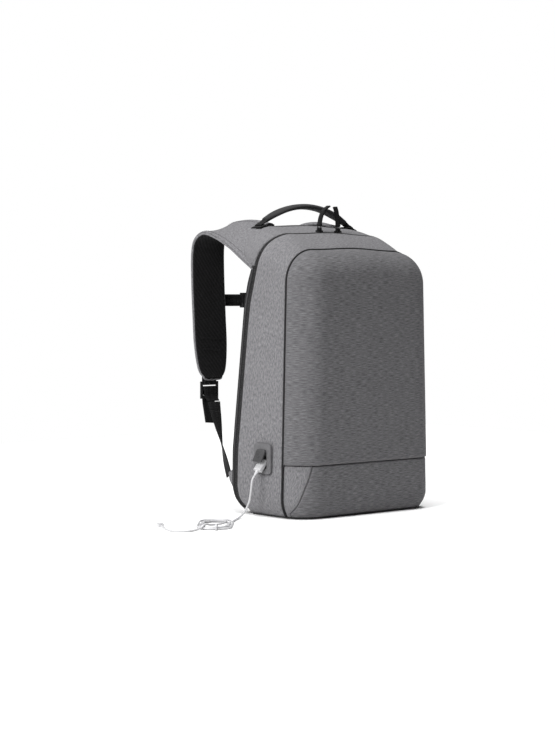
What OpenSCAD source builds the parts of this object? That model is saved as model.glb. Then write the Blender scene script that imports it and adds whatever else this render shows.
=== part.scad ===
// Charging laptop backpack with a moulded front, a full-length clamshell zip and a USB port.
// +Z is up, -Y is the front face, +Y is the wearer's back, and -X carries the USB port.
// The origin is on the ground, in the middle of the base.

/* [Body] */
// Width of the bag at the base
base_w = 282; // [270:2:294]
// Taper: how much narrower each side gets over 1 m of height
taper = 25; // [20:1:30]
// Height of the front panel's top edge
front_top = 397; // [385:1:405]
// Height of the zip where it crosses the top
zip_top = 424; // [418:1:430]
// Radius of the two shoulder corners
shoulder_r = 50; // [44:1:56]
// Thickness of the foam-backed side and front fabric
wall_t = 6; // [4:0.5:6.5]

/* [Front] */
// Y of the seam between the sides and the front panel
front_seam_y = -43; // [-46:1:-40]
// Radius of the moulded edge of the front panel
crown_r = 42; // [36:1:46]
// Height of the seam under the moulded panel
low_seam_z = 80; // [74:1:88]
// How far the moulded panel overhangs the lower panel
overhang = 1.5; // [1:0.5:3]
// Diameter of the piping
piping_d = 3; // [2.5:0.5:4]

/* [Back] */
// Thickness of the stiffened back board
board_t = 4; // [3:0.5:8]
// Thickness of the two long back pads
pad_t = 10; // [8:1:16]
// Width of the open zip channel
zip_gap = 6; // [5:0.5:7]
// Depth of the laptop sleeve
sleeve_depth = 25; // [20:1:27]

/* [Handle] */
// Distance between the outer ends of the carry handle
handle_span = 196; // [180:2:204]
// Height of the handle's arch above the yoke
handle_rise = 31; // [26:1:36]

/* [Straps] */
// Thickness of the foam of a shoulder strap
strap_t = 6.5; // [5:0.5:9]
// Thickness of the mesh on the wearer's side
mesh_t = 2.5; // [2:0.5:3.5]
// Width of the lower webbing
webbing_w = 25; // [22:1:26]
// Thickness of the webbing
webbing_t = 1.8; // [1.4:0.2:2]

/* [USB port] */
// Height of the port's mouth
port_z = 84; // [78:1:90]
// Angle of the port below the horizontal
port_tilt = 50; // [45:1:52]
// Diameter of the charging cable
cable_d = 3; // [2.8:0.1:3.4]

/* [Hidden] */
$fn = 32;

grey = [0.56, 0.56, 0.58];
dark_grey = [0.40, 0.40, 0.41];
charcoal = [0.24, 0.24, 0.25];
near_black = [0.09, 0.09, 0.10];
lining_grey = [0.62, 0.62, 0.64];
white = [0.93, 0.93, 0.93];
steel = [0.75, 0.75, 0.77];

big = 700;
foot_z = 10;
curl_h = 30;
crown = 3;
touch = 0.02;
slice_t = 0.1;
clear = 0.3;
side_steps = 6;
corner_steps = 6;
top_steps = 3;

// Y of the middle of the zip against height, round the back bottom corner and over the shoulder.
zip_line = [[10, 46], [13, 53], [22, 62], [40, 68], [95, 68], [280, 50], [320, 45], [370, 31], [410, 20],
    [424, 10], [430, 8]];
// Y of the outer edge of the dark band against height.
band_line = [[10, 49], [13, 57], [22, 69], [40, 77], [95, 78], [280, 60], [320, 56], [350, 49], [370, 41]];
// Y of the yoke's rear edge against height.
yoke_line = [[370, 47], [385, 60], [405, 68], [424, 72], [440, 74]];
front_y = front_seam_y - crown_r;
yoke_top = 437;
yoke_t = 5;

function lerp(a, b, t) = a + (b - a) * t;
function unit(v) = v / norm(v);
// Rounding of the lower edge, as an inset that fades out over the first curl_h.
function curl(z) = pow(max(0, curl_h - z), 2) / curl_h / 2.7;
function half_w(z) = base_w / 2 - z * taper / 1000 - curl(z);
function zip_y(z) = lookup(z, zip_line);

// Heights of an arch's straight side: close together round the lower edge, then even steps.
curl_zs = [14, 22, 36];
function side_zs(top, r, foot) = concat([foot], [for (z = curl_zs) if (z > foot) z],
    [for (k = [1:side_steps - 1]) lerp(curl_zs[2], top - r, k / side_steps)]);

// Left half of an arch, foot to crown: x, z and the angle of the outward normal.
function half_arch(top, inset, r, foot) = concat(
    [for (z = side_zs(top, r, foot)) [inset - half_w(z), z, 180]],
    [for (k = [0:corner_steps])
        let (a = 180 - 90 * k / corner_steps, w = half_w(top - r) - inset)
        [r - w + r * cos(a), top - r + r * sin(a), a]],
    [for (k = [1:top_steps])
        let (w = half_w(top - r) - inset - r, t = k / top_steps)
        [-w * (1 - t), top + crown * (1 - (1 - t) * (1 - t)), 90]]);

// The whole arch, left foot over the top to right foot.
function arch(top, inset, r, foot) =
    let (half = half_arch(top, inset, r, foot), n = len(half))
    concat(half, [for (k = [n - 2:-1:0]) [-half[k][0], half[k][1], 180 - half[k][2]]]);

// A point of the arch at depth y, moved inwards by t.
function arch_point(p, y, t) = [p[0] - t * cos(p[2]), y, p[1] - t * sin(p[2])];

// Joins closed sections, each a list of points, into one solid with flat ends.
module sweep(sections) {
    m = len(sections[0]);
    n = len(sections);
    sides = [for (i = [0:n - 2], j = [0:m - 1])
        let (a = i * m + j, b = i * m + (j + 1) % m, c = b + m, d = a + m)
        each j < m / 2 ? [[a, b, c], [a, c, d]] : [[a, b, d], [b, c, d]]];
    ends = [[for (j = [m - 1:-1:0]) j], [for (j = [0:m - 1]) (n - 1) * m + j]];
    polyhedron([for (s = sections) each s], concat(sides, ends));
}

// Round tube along a route of points.
function route_dir(route, i) =
    unit(route[min(i + 1, len(route) - 1)] - route[max(i - 1, 0)]);

function tube_ring(route, i, d, sides) =
    let (u = route_dir(route, i),
        side = unit(cross(u, abs(u[2]) < 0.9 ? [0, 0, 1] : [0, 1, 0])),
        up = cross(side, u))
    [for (k = [0:sides - 1]) route[i] + d / 2 * (side * cos(360 * k / sides) + up * sin(360 * k / sides))];

module tube(route, d, sides = 8) {
    sweep([for (i = [0:len(route) - 1]) tube_ring(route, i, d, sides)]);
}

// Curve through hand-placed route points (Catmull-Rom), with a few rings for each stretch.
function route_point(route, i, t) =
    let (n = len(route) - 1, a = route[max(i - 1, 0)], b = route[i], c = route[min(i + 1, n)],
        d = route[min(i + 2, n)])
    0.5 * (2 * b + (c - a) * t + (2 * a - 5 * b + 4 * c - d) * t * t + (3 * b - a - 3 * c + d) * t * t * t);

function smooth(route, steps) = concat(
    [for (i = [0:len(route) - 2], k = [0:steps - 1]) route_point(route, i, k / steps)],
    [route[len(route) - 1]]);

// Flat strip between two edges, with rounded sides; shift moves it along its own normal.
function strip_section(a, b, u, t, shift) =
    let (w = unit(b - a), nrm = unit(cross(w, u)), e = min(t * 0.45, norm(b - a) * 0.2),
        p = a + nrm * shift, q = b + nrm * shift, h = nrm * t / 2)
    [q - h - w * e, q - h * 0.3, q + h * 0.3, q + h - w * e, p + h + w * e, p + h * 0.3, p - h * 0.3,
        p - h + w * e];

module strip(edge_a, edge_b, t, shift = 0) {
    middle = (edge_a + edge_b) / 2;
    sweep([for (i = [0:len(middle) - 1])
        strip_section(edge_a[i], edge_b[i], route_dir(middle, i), t, shift)]);
}

// Flat outline in the XZ plane, given as x and z, pulled from y to y + t.
module xz_slab(outline, y, t) {
    translate([0, y + t, 0]) rotate([90, 0, 0]) linear_extrude(t) polygon(outline);
}

// Outline in the YZ plane, given as y and z, pulled across the bag's width.
module yz_slab(outline, x0, x1) {
    translate([x0, 0, 0]) rotate([90, 0, 90]) linear_extrude(x1 - x0) polygon(outline);
}

function outline(top, inset, r, foot) = [for (p = arch(top, inset, r, foot)) [p[0], p[1]]];

// ---- shell: sides, front and base ----

module side_gusset() {
    front = arch(front_top, 0, shoulder_r, foot_z);
    rear = arch(zip_top, 0, shoulder_r, foot_z);
    color(grey) difference() {
        sweep([for (i = [0:len(front) - 1])
            let (f = front[i], b = rear[i], yb = zip_y(b[1]) - zip_gap / 2, mid = (f + b) / 2,
                ym = (front_seam_y + yb) / 2)
            [arch_point(mid, ym, -1), arch_point(b, yb, 0), arch_point(b, yb, wall_t),
                arch_point(mid, ym, wall_t - 1), arch_point(f, front_seam_y, wall_t),
                arch_point(f, front_seam_y, 0)]]);
        translate([-base_w / 2 - 5, port_y - 13, port_z - 16]) cube([20, 26, 36]);
        translate([-base_w / 2 - 5, port_y - patch_w / 2, port_z + 3 - patch_h / 2])
            cube([base_w / 2 + port_x + 4, patch_w, patch_h]);
    }
}

// Solid dome of the front: outlines that shrink as they come forward.
module dome(inset, foot, top) {
    steps = 5;
    hull() for (k = [0:steps])
        let (a = 90 * k / steps, in = inset + (crown_r - inset) * (1 - cos(a)))
        xz_slab(outline(top - in, in, max(shoulder_r - in, 9), foot),
            front_seam_y - touch - slice_t - (crown_r - inset) * sin(a), slice_t);
}

module front_skin(inset) {
    difference() {
        dome(inset, foot_z, front_top);
        translate([0, touch + 0.2, -5]) dome(inset + wall_t, foot_z, front_top + 5);
    }
}

module front_panel() {
    color(dark_grey) intersection() {
        front_skin(0);
        translate([-big / 2, -big / 2, low_seam_z]) cube(big);
    }
}

// Cutting solid of one corner gusset, left side: outwards of a seam that leans out as it falls.
module corner_cut(grow) {
    xz_slab([[-200, 0], [-134 + grow, 0], [-124 + grow, 42], [-112 + grow, low_seam_z], [-200, low_seam_z]],
        -100, 100);
}

module lower_skin() {
    intersection() {
        front_skin(overhang);
        base_form(low_seam_z);
        translate([-big / 2, -big / 2, foot_z]) cube([big, big, low_seam_z - foot_z - touch]);
    }
}

module lower_front_panel() {
    color(dark_grey) difference() {
        lower_skin();
        corner_cut(clear);
        mirror([1, 0, 0]) corner_cut(clear);
    }
}

module corner_gusset_left() {
    color(grey) intersection() {
        lower_skin();
        corner_cut(0);
    }
}

module corner_gusset_right() {
    color(grey) intersection() {
        lower_skin();
        mirror([1, 0, 0]) corner_cut(0);
    }
}

// Plan outline of the bag's base, inset by d; the rear edge moves in by a share of d.
module base_plan(d, rear = 0.25) {
    half = base_w / 2 - 0.8 - d;
    offset(r = 14) offset(delta = -14) polygon([
        [-half, zip_y(foot_z) - d * rear], [-half, front_seam_y], [-half + 12, front_y + 12 + d],
        [-half + 40, front_y + d], [half - 40, front_y + d], [half - 12, front_y + 12 + d],
        [half, front_seam_y], [half, zip_y(foot_z) - d * rear]]);
}

// Rounded lower edge: the base plan grows to full size as the curl fades out.
module base_form(high) {
    hull() {
        for (z = [0, 4, 10, 18, curl_h])
            translate([0, 0, z]) linear_extrude(0.1) base_plan(curl(z));
        translate([0, 0, high]) linear_extrude(0.1) base_plan(0);
    }
}

base_skin = 4;
board_inset = 12;

module base_panel() {
    color(near_black) difference() {
        intersection() {
            base_form(curl_h + 1);
            translate([-big / 2, -big / 2, 0]) cube([big, big, foot_z - touch]);
        }
        translate([0, 0, base_skin]) linear_extrude(curl_h) base_plan(board_inset, 1);
    }
}

module base_board() {
    color(near_black) translate([0, 0, base_skin + touch]) linear_extrude(4) base_plan(board_inset + 1, 1);
}

module front_piping() {
    edge = arch(front_top, 0, shoulder_r, foot_z);
    color(near_black) tube([for (p = edge) arch_point(p, front_seam_y - 0.4, -piping_d / 2 - 0.1)], piping_d);
}

// Half of the zip: its cloth tape and teeth, as one strip along the arch.
module zip_half(y0, y1) {
    edge = arch(zip_top, 0, shoulder_r, foot_z);
    sweep([for (i = [1:len(edge) - 2])
        let (p = edge[i], y = zip_y(p[1]))
        [arch_point(p, y + y0, 1), arch_point(p, y + y1, 1), arch_point(p, y + y1, 2.6),
            arch_point(p, y + y0, 2.6)]]);
}

module zip_tape_shell() {
    color(near_black) zip_half(-zip_gap / 2 + touch, -0.25);
}

module zip_tape_back() {
    color(near_black) zip_half(0.25, zip_gap / 2 - touch);
}

module front_divider() {
    color(lining_grey) xz_slab(outline(front_top - 20, 8, 40, 16), -33, 1.5);
}

module organiser_pocket() {
    color(lining_grey) {
        translate([-100, -42, 60]) cube([200, 1.2, 150]);
        for (x = [-100, -0.6, 98.8])
            translate([x, -42, 60]) cube([1.2, 9 - touch, 150]);
        translate([-100, -42, 58.8]) cube([200, 9 - touch, 1.2]);
    }
}

module power_bank_pocket() {
    color(lining_grey) {
        translate([-108, -24, 130]) cube([1.2, 36, 110]);
        translate([-129.2, -24, 128.8]) cube([22.4, 36, 1.2]);
        for (y = [-24, 10.8])
            translate([-129.2, y, 130]) cube([22.4, 1.2, 110]);
    }
}

// ---- USB port ----

port_y = -1.5;
port_x = -base_w / 2 + port_z * taper / 1000;
patch_t = 4;
patch_w = 39;
patch_h = 45;

// Places children in the port's own frame: +X runs into the bag along the plug's axis.
module at_port() {
    translate([port_x - 1.5, port_y, port_z]) rotate([0, -port_tilt, 0]) children();
}

module rounded_plate(w, h, t, r) {
    linear_extrude(t) offset(r) square([w - 2 * r, h - 2 * r], center = true);
}

module usb_patch() {
    color(charcoal) difference() {
        translate([port_x - 1 - touch, port_y, port_z + 3]) rotate([0, -90, 0])
            rounded_plate(patch_h, patch_w, patch_t, 6);
        translate([port_x - 20, port_y - 10, port_z - 12]) cube([40, 20, 24]);
    }
}

module usb_housing() {
    color(near_black) difference() {
        translate([port_x - 0.9, port_y - 12, port_z - 15]) cube([16, 24, 34]);
        at_port() translate([-10, -7.4, -3.6]) cube([40, 14.8, 7.2]);
        at_port() translate([-30, -9, -6]) cube([30.5, 18, 12]);
    }
}

module usb_socket() {
    color(steel) at_port() {
        difference() {
            translate([1, -7.3, -3.5]) cube([14, 14.6, 7]);
            translate([0, -6.3, -2.5]) cube([14, 12.6, 5]);
        }
        translate([3, -5.4, 0.5]) cube([11, 10.8, 1.6]);
    }
}

flap_hinge_x = port_x - 1 - patch_t - 1.6;
flap_hinge_z = port_z + 15;
flap_open = 28;

module usb_flap() {
    color(charcoal) translate([flap_hinge_x, port_y, flap_hinge_z]) rotate([0, flap_open, 0]) {
        rotate([90, 0, 0]) cylinder(r = 1.5, h = 18, center = true);
        difference() {
            translate([-1, -10, -18]) cube([2, 20, 17.5]);
            translate([-3, 0, -10]) rotate([0, 90, 0]) cylinder(r = 4, h = 2.4);
        }
        translate([-1.5, 0, -10]) rotate([0, 90, 0]) cylinder(r = 1.6, h = 1.5);
    }
}

lead_route = [[-122, -1.5, 103], [-120.5, 1, 110], [-119, 8, 118], [-117, 15, 128], [-117, 16, 140],
    [-117, 16, 180], [-117, 15.5, 225], [-117, 15, 238], [-117, 11, 247], [-118, 2, 253], [-119, -6, 250],
    [-119, -8, 240]];

module inner_lead() {
    color(near_black) tube(smooth(lead_route, 3), 3.4);
}

module inner_plug() {
    color(near_black) {
        translate([-124, -15.5, 214]) cube([10, 15, 26 - touch]);
        translate([-121.4, -14, 203]) cube([4.6, 12, 11]);
    }
}

// ---- zip sliders and pulls ----

slider_x = [-22, 16];
slider_y = 9.5;
channel_z = zip_top + crown;
ring_z = 4.9;

// Shaped slider plate with a bridge for the pull.
module slider_at(x) {
    color(steel) translate([x, slider_y, channel_z - 0.5]) {
        translate([-6, -2.2, 0]) cube([12, 4.4, 3]);
        difference() {
            translate([-4, -1.5, 2]) cube([8, 3, 5.2]);
            translate([0, -3, ring_z]) rotate([-90, 0, 0]) cylinder(r = 1.6, h = 6);
        }
    }
}

module slider_left() {
    slider_at(slider_x[0]);
}

module slider_right() {
    slider_at(slider_x[1]);
}

pull_z = channel_z - 0.5 + ring_z;
pull_w = 9;
ring_clear = 0.35;

// Wire ring through the slider's bridge, and the folded ribbon that hangs on it.
module pull_ring(x) {
    translate([x, slider_y, pull_z]) rotate([90, 0, 0])
        cylinder(r = 1.6 - ring_clear, h = 6, center = true);
    for (s = [-1, 1])
        translate([x - 1.2, slider_y + s * 3 - 0.6, pull_z - 1]) cube([2.4, 1.2, 7]);
    translate([x - 1.2, slider_y - 3.6, pull_z + 5]) cube([2.4, 7.2, 1.4]);
}

module pull_left() {
    x = slider_x[0];
    middle = smooth([[x, pull_z + 5.5], [x + 3, pull_z + 18], [x + 9, pull_z + 29],
        [x + 19, pull_z + 35.5]], 4);
    color(near_black) {
        pull_ring(x);
        strip([for (p = middle) [p[0], slider_y - pull_w / 2, p[1]]],
            [for (p = middle) [p[0], slider_y + pull_w / 2, p[1]]], 2.4);
    }
}

module pull_right() {
    x = slider_x[1];
    middle = smooth([[x, pull_z + 5.5], [x - 1, pull_z + 16], [x - 3, pull_z + 27], [x - 6, pull_z + 35]], 4);
    color(near_black) {
        pull_ring(x);
        strip([for (p = middle) [p[0], slider_y - pull_w / 2, p[1]]],
            [for (p = middle) [p[0], slider_y + pull_w / 2, p[1]]], 2.4);
    }
}

// ---- back unit ----

hinge_y = 46.5;
hinge_z = 10.3;

board_foot = 36;
board_foot_y = 66;
board_lean = 28 / 394;

// Y of the board's inner face, which leans forward as it rises.
function board_y(z) = board_foot_y - (z - board_foot) * board_lean;

// Slab that follows the leaning back: from the board's inner face plus a to plus b.
module back_slab(a, b, x0, x1, z0, z1) {
    yz_slab([[board_y(z0) + a, z0], [board_y(z1) + a, z1], [board_y(z1) + b, z1], [board_y(z0) + b, z0]],
        x0, x1);
}

module back_board() {
    color(near_black) intersection() {
        back_slab(0, board_t, -big / 2, big / 2, board_foot + touch, zip_top);
        xz_slab(outline(zip_top - 1, 9.5, 46, 16), 0, 120);
    }
}

// Rounded lower rear corner, from the hinge seam at the base up to the back board.
module rear_base_panel() {
    color(charcoal) yz_slab([[hinge_y, hinge_z], [57, 13.5], [68.5, 22], [72.5, board_foot],
        [65.6, board_foot], [63, 25], [54, 17.5], [hinge_y, 14]], -130, 130);
}

module back_band() {
    edge = arch(zip_top, 0, shoulder_r, foot_z + 4);
    last = len(side_zs(zip_top, shoulder_r, foot_z + 4));
    color(charcoal) for (s = [0, 1]) mirror([s, 0, 0])
        sweep([for (i = [0:last])
            let (p = edge[i], y0 = zip_y(p[1]) + zip_gap / 2, y1 = max(lookup(p[1], band_line), y0 + 3))
            [arch_point(p, y0, 0.5), arch_point(p, y1 - 1.5, 0.5), arch_point(p, y1, 2),
                arch_point(p, y1, 6), arch_point(p, y0, 6)]]);
}

// Long back pad, left side: a rounded slab behind the board.
module back_pad(x0, x1, z0, z1, t, r) {
    intersection() {
        back_slab(board_t + touch, board_t + t, -big / 2, big / 2, board_foot, zip_top);
        translate([(x0 + x1) / 2, 130, (z0 + z1) / 2]) rotate([90, 0, 0]) linear_extrude(130)
            offset(r) square([x1 - x0 - 2 * r, z1 - z0 - 2 * r], center = true);
    }
}

module back_pad_left() {
    color(near_black) back_pad(-118, -14, 112, 380, pad_t, 22);
}

module back_pad_right() {
    color(near_black) back_pad(14, 118, 112, 380, pad_t, 22);
}

module lumbar_pad() {
    color(near_black) back_pad(-114, 114, 36, 104, pad_t + 2, 20);
}

sleeve_w = 252;
sleeve_wall = 2;
sleeve_low = 38;
sleeve_high = 290;

// Padded laptop sleeve, open at the top, sewn to the board's inner face.
module laptop_sleeve() {
    half = sleeve_w / 2;
    color(lining_grey) difference() {
        back_slab(-sleeve_depth - sleeve_wall, -touch, -half, half, sleeve_low, sleeve_high);
        back_slab(-sleeve_depth, 5, -half + sleeve_wall, half - sleeve_wall, sleeve_low + sleeve_wall,
            sleeve_high + 5);
    }
}

// Yoke over the shoulders: from the zip back to the top of the pads, with a turned-down rear lip.
module yoke() {
    front = arch(zip_top, 0, shoulder_r, foot_z);
    rear = arch(yoke_top, 3, shoulder_r + 4, foot_z);
    first = len(side_zs(zip_top, shoulder_r, foot_z));
    last = len(front) - 1 - first;
    lip = 16;
    color(grey) sweep([for (i = [first:last])
        let (f = front[i], b = rear[i], yf = zip_y(f[1]) + zip_gap / 2, yb = lookup(b[1], yoke_line),
            in = lerp(b, f, yoke_t / (yb - yf)))
        [arch_point(f, yf, 0), arch_point(b, yb, 0), arch_point(b, yb, lip),
            arch_point(in, yb - yoke_t, lip), arch_point(in, yb - yoke_t, yoke_t + 1),
            arch_point(f, yf, yoke_t)]]);
}

handle_y = 69;
handle_half = handle_span / 2 - 16;
handle_base_z = yoke_top + 7;
handle_t = 9;

// Padded grip: its ends narrow to where the tabs hold them.
function handle_width(t) = lerp(10, 23, min(1, (1 - abs(t)) * 3.2));

module handle_grip() {
    steps = 18;
    ts = [for (k = [0:steps]) 2 * k / steps - 1];
    color(near_black) strip(
        [for (t = ts) [handle_half * t, handle_y - handle_width(t) / 2,
            handle_base_z + (handle_rise - 7) * (1 - t * t)]],
        [for (t = ts) [handle_half * t, handle_y + handle_width(t) / 2,
            handle_base_z + (handle_rise - 7) * (1 - t * t)]], handle_t);
}

// The two webbing tabs that are sewn flat on the yoke and hold the grip's ends.
module handle_tabs() {
    route = [[-99, 432.6], [-91, 435.6], [-83.5, 437.7]];
    color(near_black) for (s = [0, 1]) mirror([s, 0, 0])
        strip([for (p = route) [p[0], handle_y - 12, p[1]]], [for (p = route) [p[0], handle_y + 12, p[1]]],
            2);
}

// Triangular tabs at the lower rear corners that hold the lower webbing.
module anchor_tabs() {
    color(grey) for (s = [0, 1]) mirror([s, 0, 0])
        strip([[-128, 79, 26], [-127.5, 88, 36], [-126, 98, 46]],
            [[-128, 79, 68], [-127.5, 89, 64], [-126, 101, 59]], 2.4);
}

// ---- harness, left side; the right side mirrors it ----

strap_outer = [[-128, 69, 391], [-128, 95, 404], [-128, 128, 419], [-130, 160, 428], [-131, 182, 418],
    [-131, 190, 396], [-131, 190, 350], [-131, 187, 300], [-130, 184, 250], [-124, 181, 212],
    [-112, 179, 198]];
strap_inner = [[-64, 82, 443], [-64, 105, 447], [-66, 135, 448.5], [-68, 166, 443.5], [-68, 187, 426],
    [-68, 193, 400], [-68, 192, 350], [-68, 189, 300], [-68, 186, 250], [-74, 182, 212], [-86, 179, 198]];
strap_fine = 3;

module strap_left() {
    color(grey) strip(smooth(strap_outer, strap_fine), smooth(strap_inner, strap_fine), strap_t);
}

module strap_right() {
    mirror([1, 0, 0]) strap_left();
}

module strap_mesh_left() {
    color(near_black) strip(smooth(strap_outer, strap_fine), smooth(strap_inner, strap_fine), mesh_t,
        -(strap_t + mesh_t) / 2 - clear);
}

module strap_mesh_right() {
    mirror([1, 0, 0]) strap_mesh_left();
}

rail_low = 268;
rail_high = 376;
rail_y = 198.6;

// Straight webbing rail on the outer face, sewn down at its two ends.
module sternum_rail_left() {
    color(near_black) translate([-80, rail_y, rail_low]) cube([8, 1.5, rail_high - rail_low]);
}

module sternum_rail_right() {
    mirror([1, 0, 0]) sternum_rail_left();
}

lock_x = -99;
lock_y = 186;
lock_z = 182;

// Webbing loop on the strap's lower end that the ladder lock's top bar hangs in.
module lock_loop_left() {
    color(near_black) difference() {
        translate([lock_x - webbing_w / 2, lock_y - 3.4, lock_z + 5]) cube([webbing_w, 7.4, 24]);
        translate([lock_x - 14, lock_y - 1.8, lock_z + 7]) cube([28, 3.8, 30]);
        translate([lock_x - 14, lock_y - 4, lock_z + 15]) cube([28, 5, 20]);
    }
}

module lock_loop_right() {
    mirror([1, 0, 0]) lock_loop_left();
}

// Ladder lock: a frame with three bars, hanging from the loop.
module ladder_lock_left() {
    frame = webbing_w + 9;
    slot = webbing_w + 2;
    side = (frame - slot) / 2;
    color(near_black) difference() {
        union() {
            translate([lock_x - frame / 2, lock_y - 1.5, lock_z - 15]) cube([frame, 3, 22.5]);
            for (s = [-1, 1])
                translate([lock_x + s * (slot + side) / 2 - side / 2, lock_y - 1.5, lock_z])
                    cube([side, 3, 12]);
            translate([lock_x - frame / 2, lock_y + 0.1, lock_z + 10]) rotate([0, 90, 0])
                cylinder(r = 1.5, h = frame);
        }
        translate([lock_x - slot / 2, lock_y - 5, lock_z + 2]) cube([slot, 10, 6.5]);
        translate([lock_x - slot / 2, lock_y - 5, lock_z - 11]) cube([slot, 10, 9]);
    }
}

module ladder_lock_right() {
    mirror([1, 0, 0]) ladder_lock_left();
}

webbing_a = [[-123.7, 97.8, 56.3], [-121.8, 111.3, 79.2], [-121, 126.3, 101.5],
    [-118.8, 143, 122.3], [-115.6, 159.1, 143.2], [-111.5, 174, 162]];
webbing_b = [[-123.7, 109.6, 48.7], [-115.7, 126.7, 68], [-106.6, 141.9, 88.2],
    [-98.9, 153.3, 111.2], [-92.3, 163.3, 135.3], [-86.5, 174, 162]];

module lower_webbing_left() {
    color(near_black) strip(smooth(webbing_a, 4), smooth(webbing_b, 4), webbing_t);
}

module lower_webbing_right() {
    mirror([1, 0, 0]) lower_webbing_left();
}

tail_a = [[-111, 189.5, 172], [-111, 188, 160], [-112, 183, 145], [-113, 178, 130]];
tail_b = [[-86, 189.5, 172], [-86, 188, 160], [-87, 183, 144], [-88, 178, 128]];

module webbing_tail_left() {
    color(near_black) strip(smooth(tail_a, 3), smooth(tail_b, 3), webbing_t);
}

module webbing_tail_right() {
    mirror([1, 0, 0]) webbing_tail_left();
}

sternum_z = 322;
adjuster_y = rail_y - 2;

// Sliding adjuster: a plastic clip that wraps the rail and carries the chest webbing.
module adjuster_left() {
    color(near_black) difference() {
        translate([-84, adjuster_y, sternum_z - 14]) cube([23, 8, 28]);
        translate([-80.6, rail_y - 0.6, sternum_z - 15]) cube([9.2, 2.7, 30]);
        translate([-66, adjuster_y - 1, sternum_z - 10.5]) cube([2.6, 10, 21]);
    }
}

module adjuster_right() {
    mirror([1, 0, 0]) adjuster_left();
}

module sternum_webbing_left() {
    route = smooth([[-60.7, 203], [-50, 200], [-38, 197], [-27.3, 196]], 4);
    color(near_black) strip([for (p = route) [p[0], p[1], sternum_z - 9.5]],
        [for (p = route) [p[0], p[1], sternum_z + 9.5]], webbing_t);
}

module sternum_webbing_right() {
    mirror([1, 0, 0]) sternum_webbing_left();
}

buckle_y = 196;

// Male half: a body with two prongs that reach into the female half.
module buckle_male() {
    color(near_black) {
        translate([-27 + touch, buckle_y - 3.5, sternum_z - 12]) cube([21, 7, 24]);
        for (s = [-1, 1])
            translate([-6 - touch, buckle_y - 1.8, sternum_z + s * 7 - 2]) cube([18, 3.6, 4]);
        translate([-6 - touch, buckle_y - 1.5, sternum_z - 1.5]) cube([12, 3, 3]);
    }
}

module buckle_female() {
    color(near_black) difference() {
        translate([-5.5, buckle_y - 4.5, sternum_z - 12.5]) cube([32.5 - touch, 9, 25]);
        translate([-7, buckle_y - 2.4, sternum_z - 9.6]) cube([22, 4.8, 19.2]);
    }
}

// ---- charging cable ----

function port_point(s) = [port_x - 1.5 - s * cos(port_tilt), port_y, port_z - s * sin(port_tilt)];

plug_start = 1;
plug_len = 18;
relief_len = 8;

module usb_plug() {
    color(white) at_port() {
        translate([-plug_start - plug_len, 0, 0]) rotate([0, 90, 0])
            linear_extrude(plug_len) offset(2.5) square([2.5, 10.7], center = true);
        translate([-plug_start - plug_len - relief_len, 0, 0]) rotate([0, 90, 0])
            cylinder(r1 = cable_d / 2 + 0.2, r2 = 3.2, h = relief_len + touch);
    }
    color(steel) at_port() translate([-plug_start - touch, -6, -2.25]) cube([12, 12, 2.6]);
}

floor_z = cable_d / 2 + 0.1;
cable_exit = port_point(plug_start + plug_len + relief_len);

// Route of the lead from the plug's relief down to the ground and into the coil.
lead_points = concat([cable_exit], [[-162.5, -1.5, 57], [-163.5, -0.5, 47], [-163, 2, 36], [-163.5, 5, 24],
    [-167, 8, 13], [-174, 8, 5.5], [-184, 3, 2.2], [-195, -5, floor_z], [-206, -14, floor_z],
    [-217, -24, floor_z]]);
// Route of the tail from the coil round to the connector.
tail_points = [[-304, -62, floor_z], [-318, -66, floor_z], [-332, -66, floor_z], [-342, -58, floor_z],
    [-345, -46, floor_z], [-342, -33, floor_z], [-336, -20, floor_z], [-330, -8, floor_z],
    [-325, 3, floor_z]];

module cable_lead() {
    color(white) tube(smooth(lead_points, 3), cable_d);
}

module cable_tail() {
    color(white) tube(smooth(tail_points, 3), cable_d);
}

coil_centre = [-261, -38];
coil_angle = 49;
coil_len = 100;
coil_w = 54;
coil_h = 10;

// Solid outline of the loosely wound loops: straight sides with round ends.
module cable_coil() {
    run = coil_len - coil_w;
    color(white) translate([coil_centre[0], coil_centre[1], 0.1]) rotate([0, 0, coil_angle])
        linear_extrude(coil_h) {
            square([run, coil_w], center = true);
            for (s = [-1, 1])
                translate([s * run / 2, 0]) circle(r = coil_w / 2, $fn = 48);
        }
}

module cable_tie() {
    color(white) translate([coil_centre[0], coil_centre[1], 0]) rotate([0, 0, coil_angle])
        translate([-coil_len / 2 - 2.5, -1.5, 0.1]) cube([2.4, 3, coil_h + 2]);
}

module cable_connector() {
    dir = unit([5, 11, 0]);
    turn = atan2(dir[1], dir[0]);
    end = tail_points[len(tail_points) - 1];
    color(white) translate([end[0], end[1], 0]) rotate([0, 0, turn])
        translate([touch, -4, 0.1]) cube([12, 8, 5]);
    color(steel) translate([end[0], end[1], 0]) rotate([0, 0, turn])
        translate([12, -3.3, 1.8]) cube([6.5, 6.6, 1.6]);
}

side_gusset();
front_panel();
lower_front_panel();
corner_gusset_left();
corner_gusset_right();
base_panel();
base_board();
front_piping();
zip_tape_shell();
front_divider();
organiser_pocket();
power_bank_pocket();
usb_patch();
usb_housing();
usb_socket();
usb_flap();
inner_lead();
inner_plug();
slider_left();
slider_right();
pull_left();
pull_right();
back_board();
rear_base_panel();
back_band();
zip_tape_back();
back_pad_left();
back_pad_right();
lumbar_pad();
laptop_sleeve();
yoke();
handle_grip();
handle_tabs();
anchor_tabs();
strap_left();
strap_right();
strap_mesh_left();
strap_mesh_right();
sternum_rail_left();
sternum_rail_right();
lock_loop_left();
lock_loop_right();
ladder_lock_left();
ladder_lock_right();
lower_webbing_left();
lower_webbing_right();
webbing_tail_left();
webbing_tail_right();
adjuster_left();
adjuster_right();
sternum_webbing_left();
sternum_webbing_right();
buckle_male();
buckle_female();
usb_plug();
cable_lead();
cable_coil();
cable_tie();
cable_tail();
cable_connector();
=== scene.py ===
import math

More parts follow.
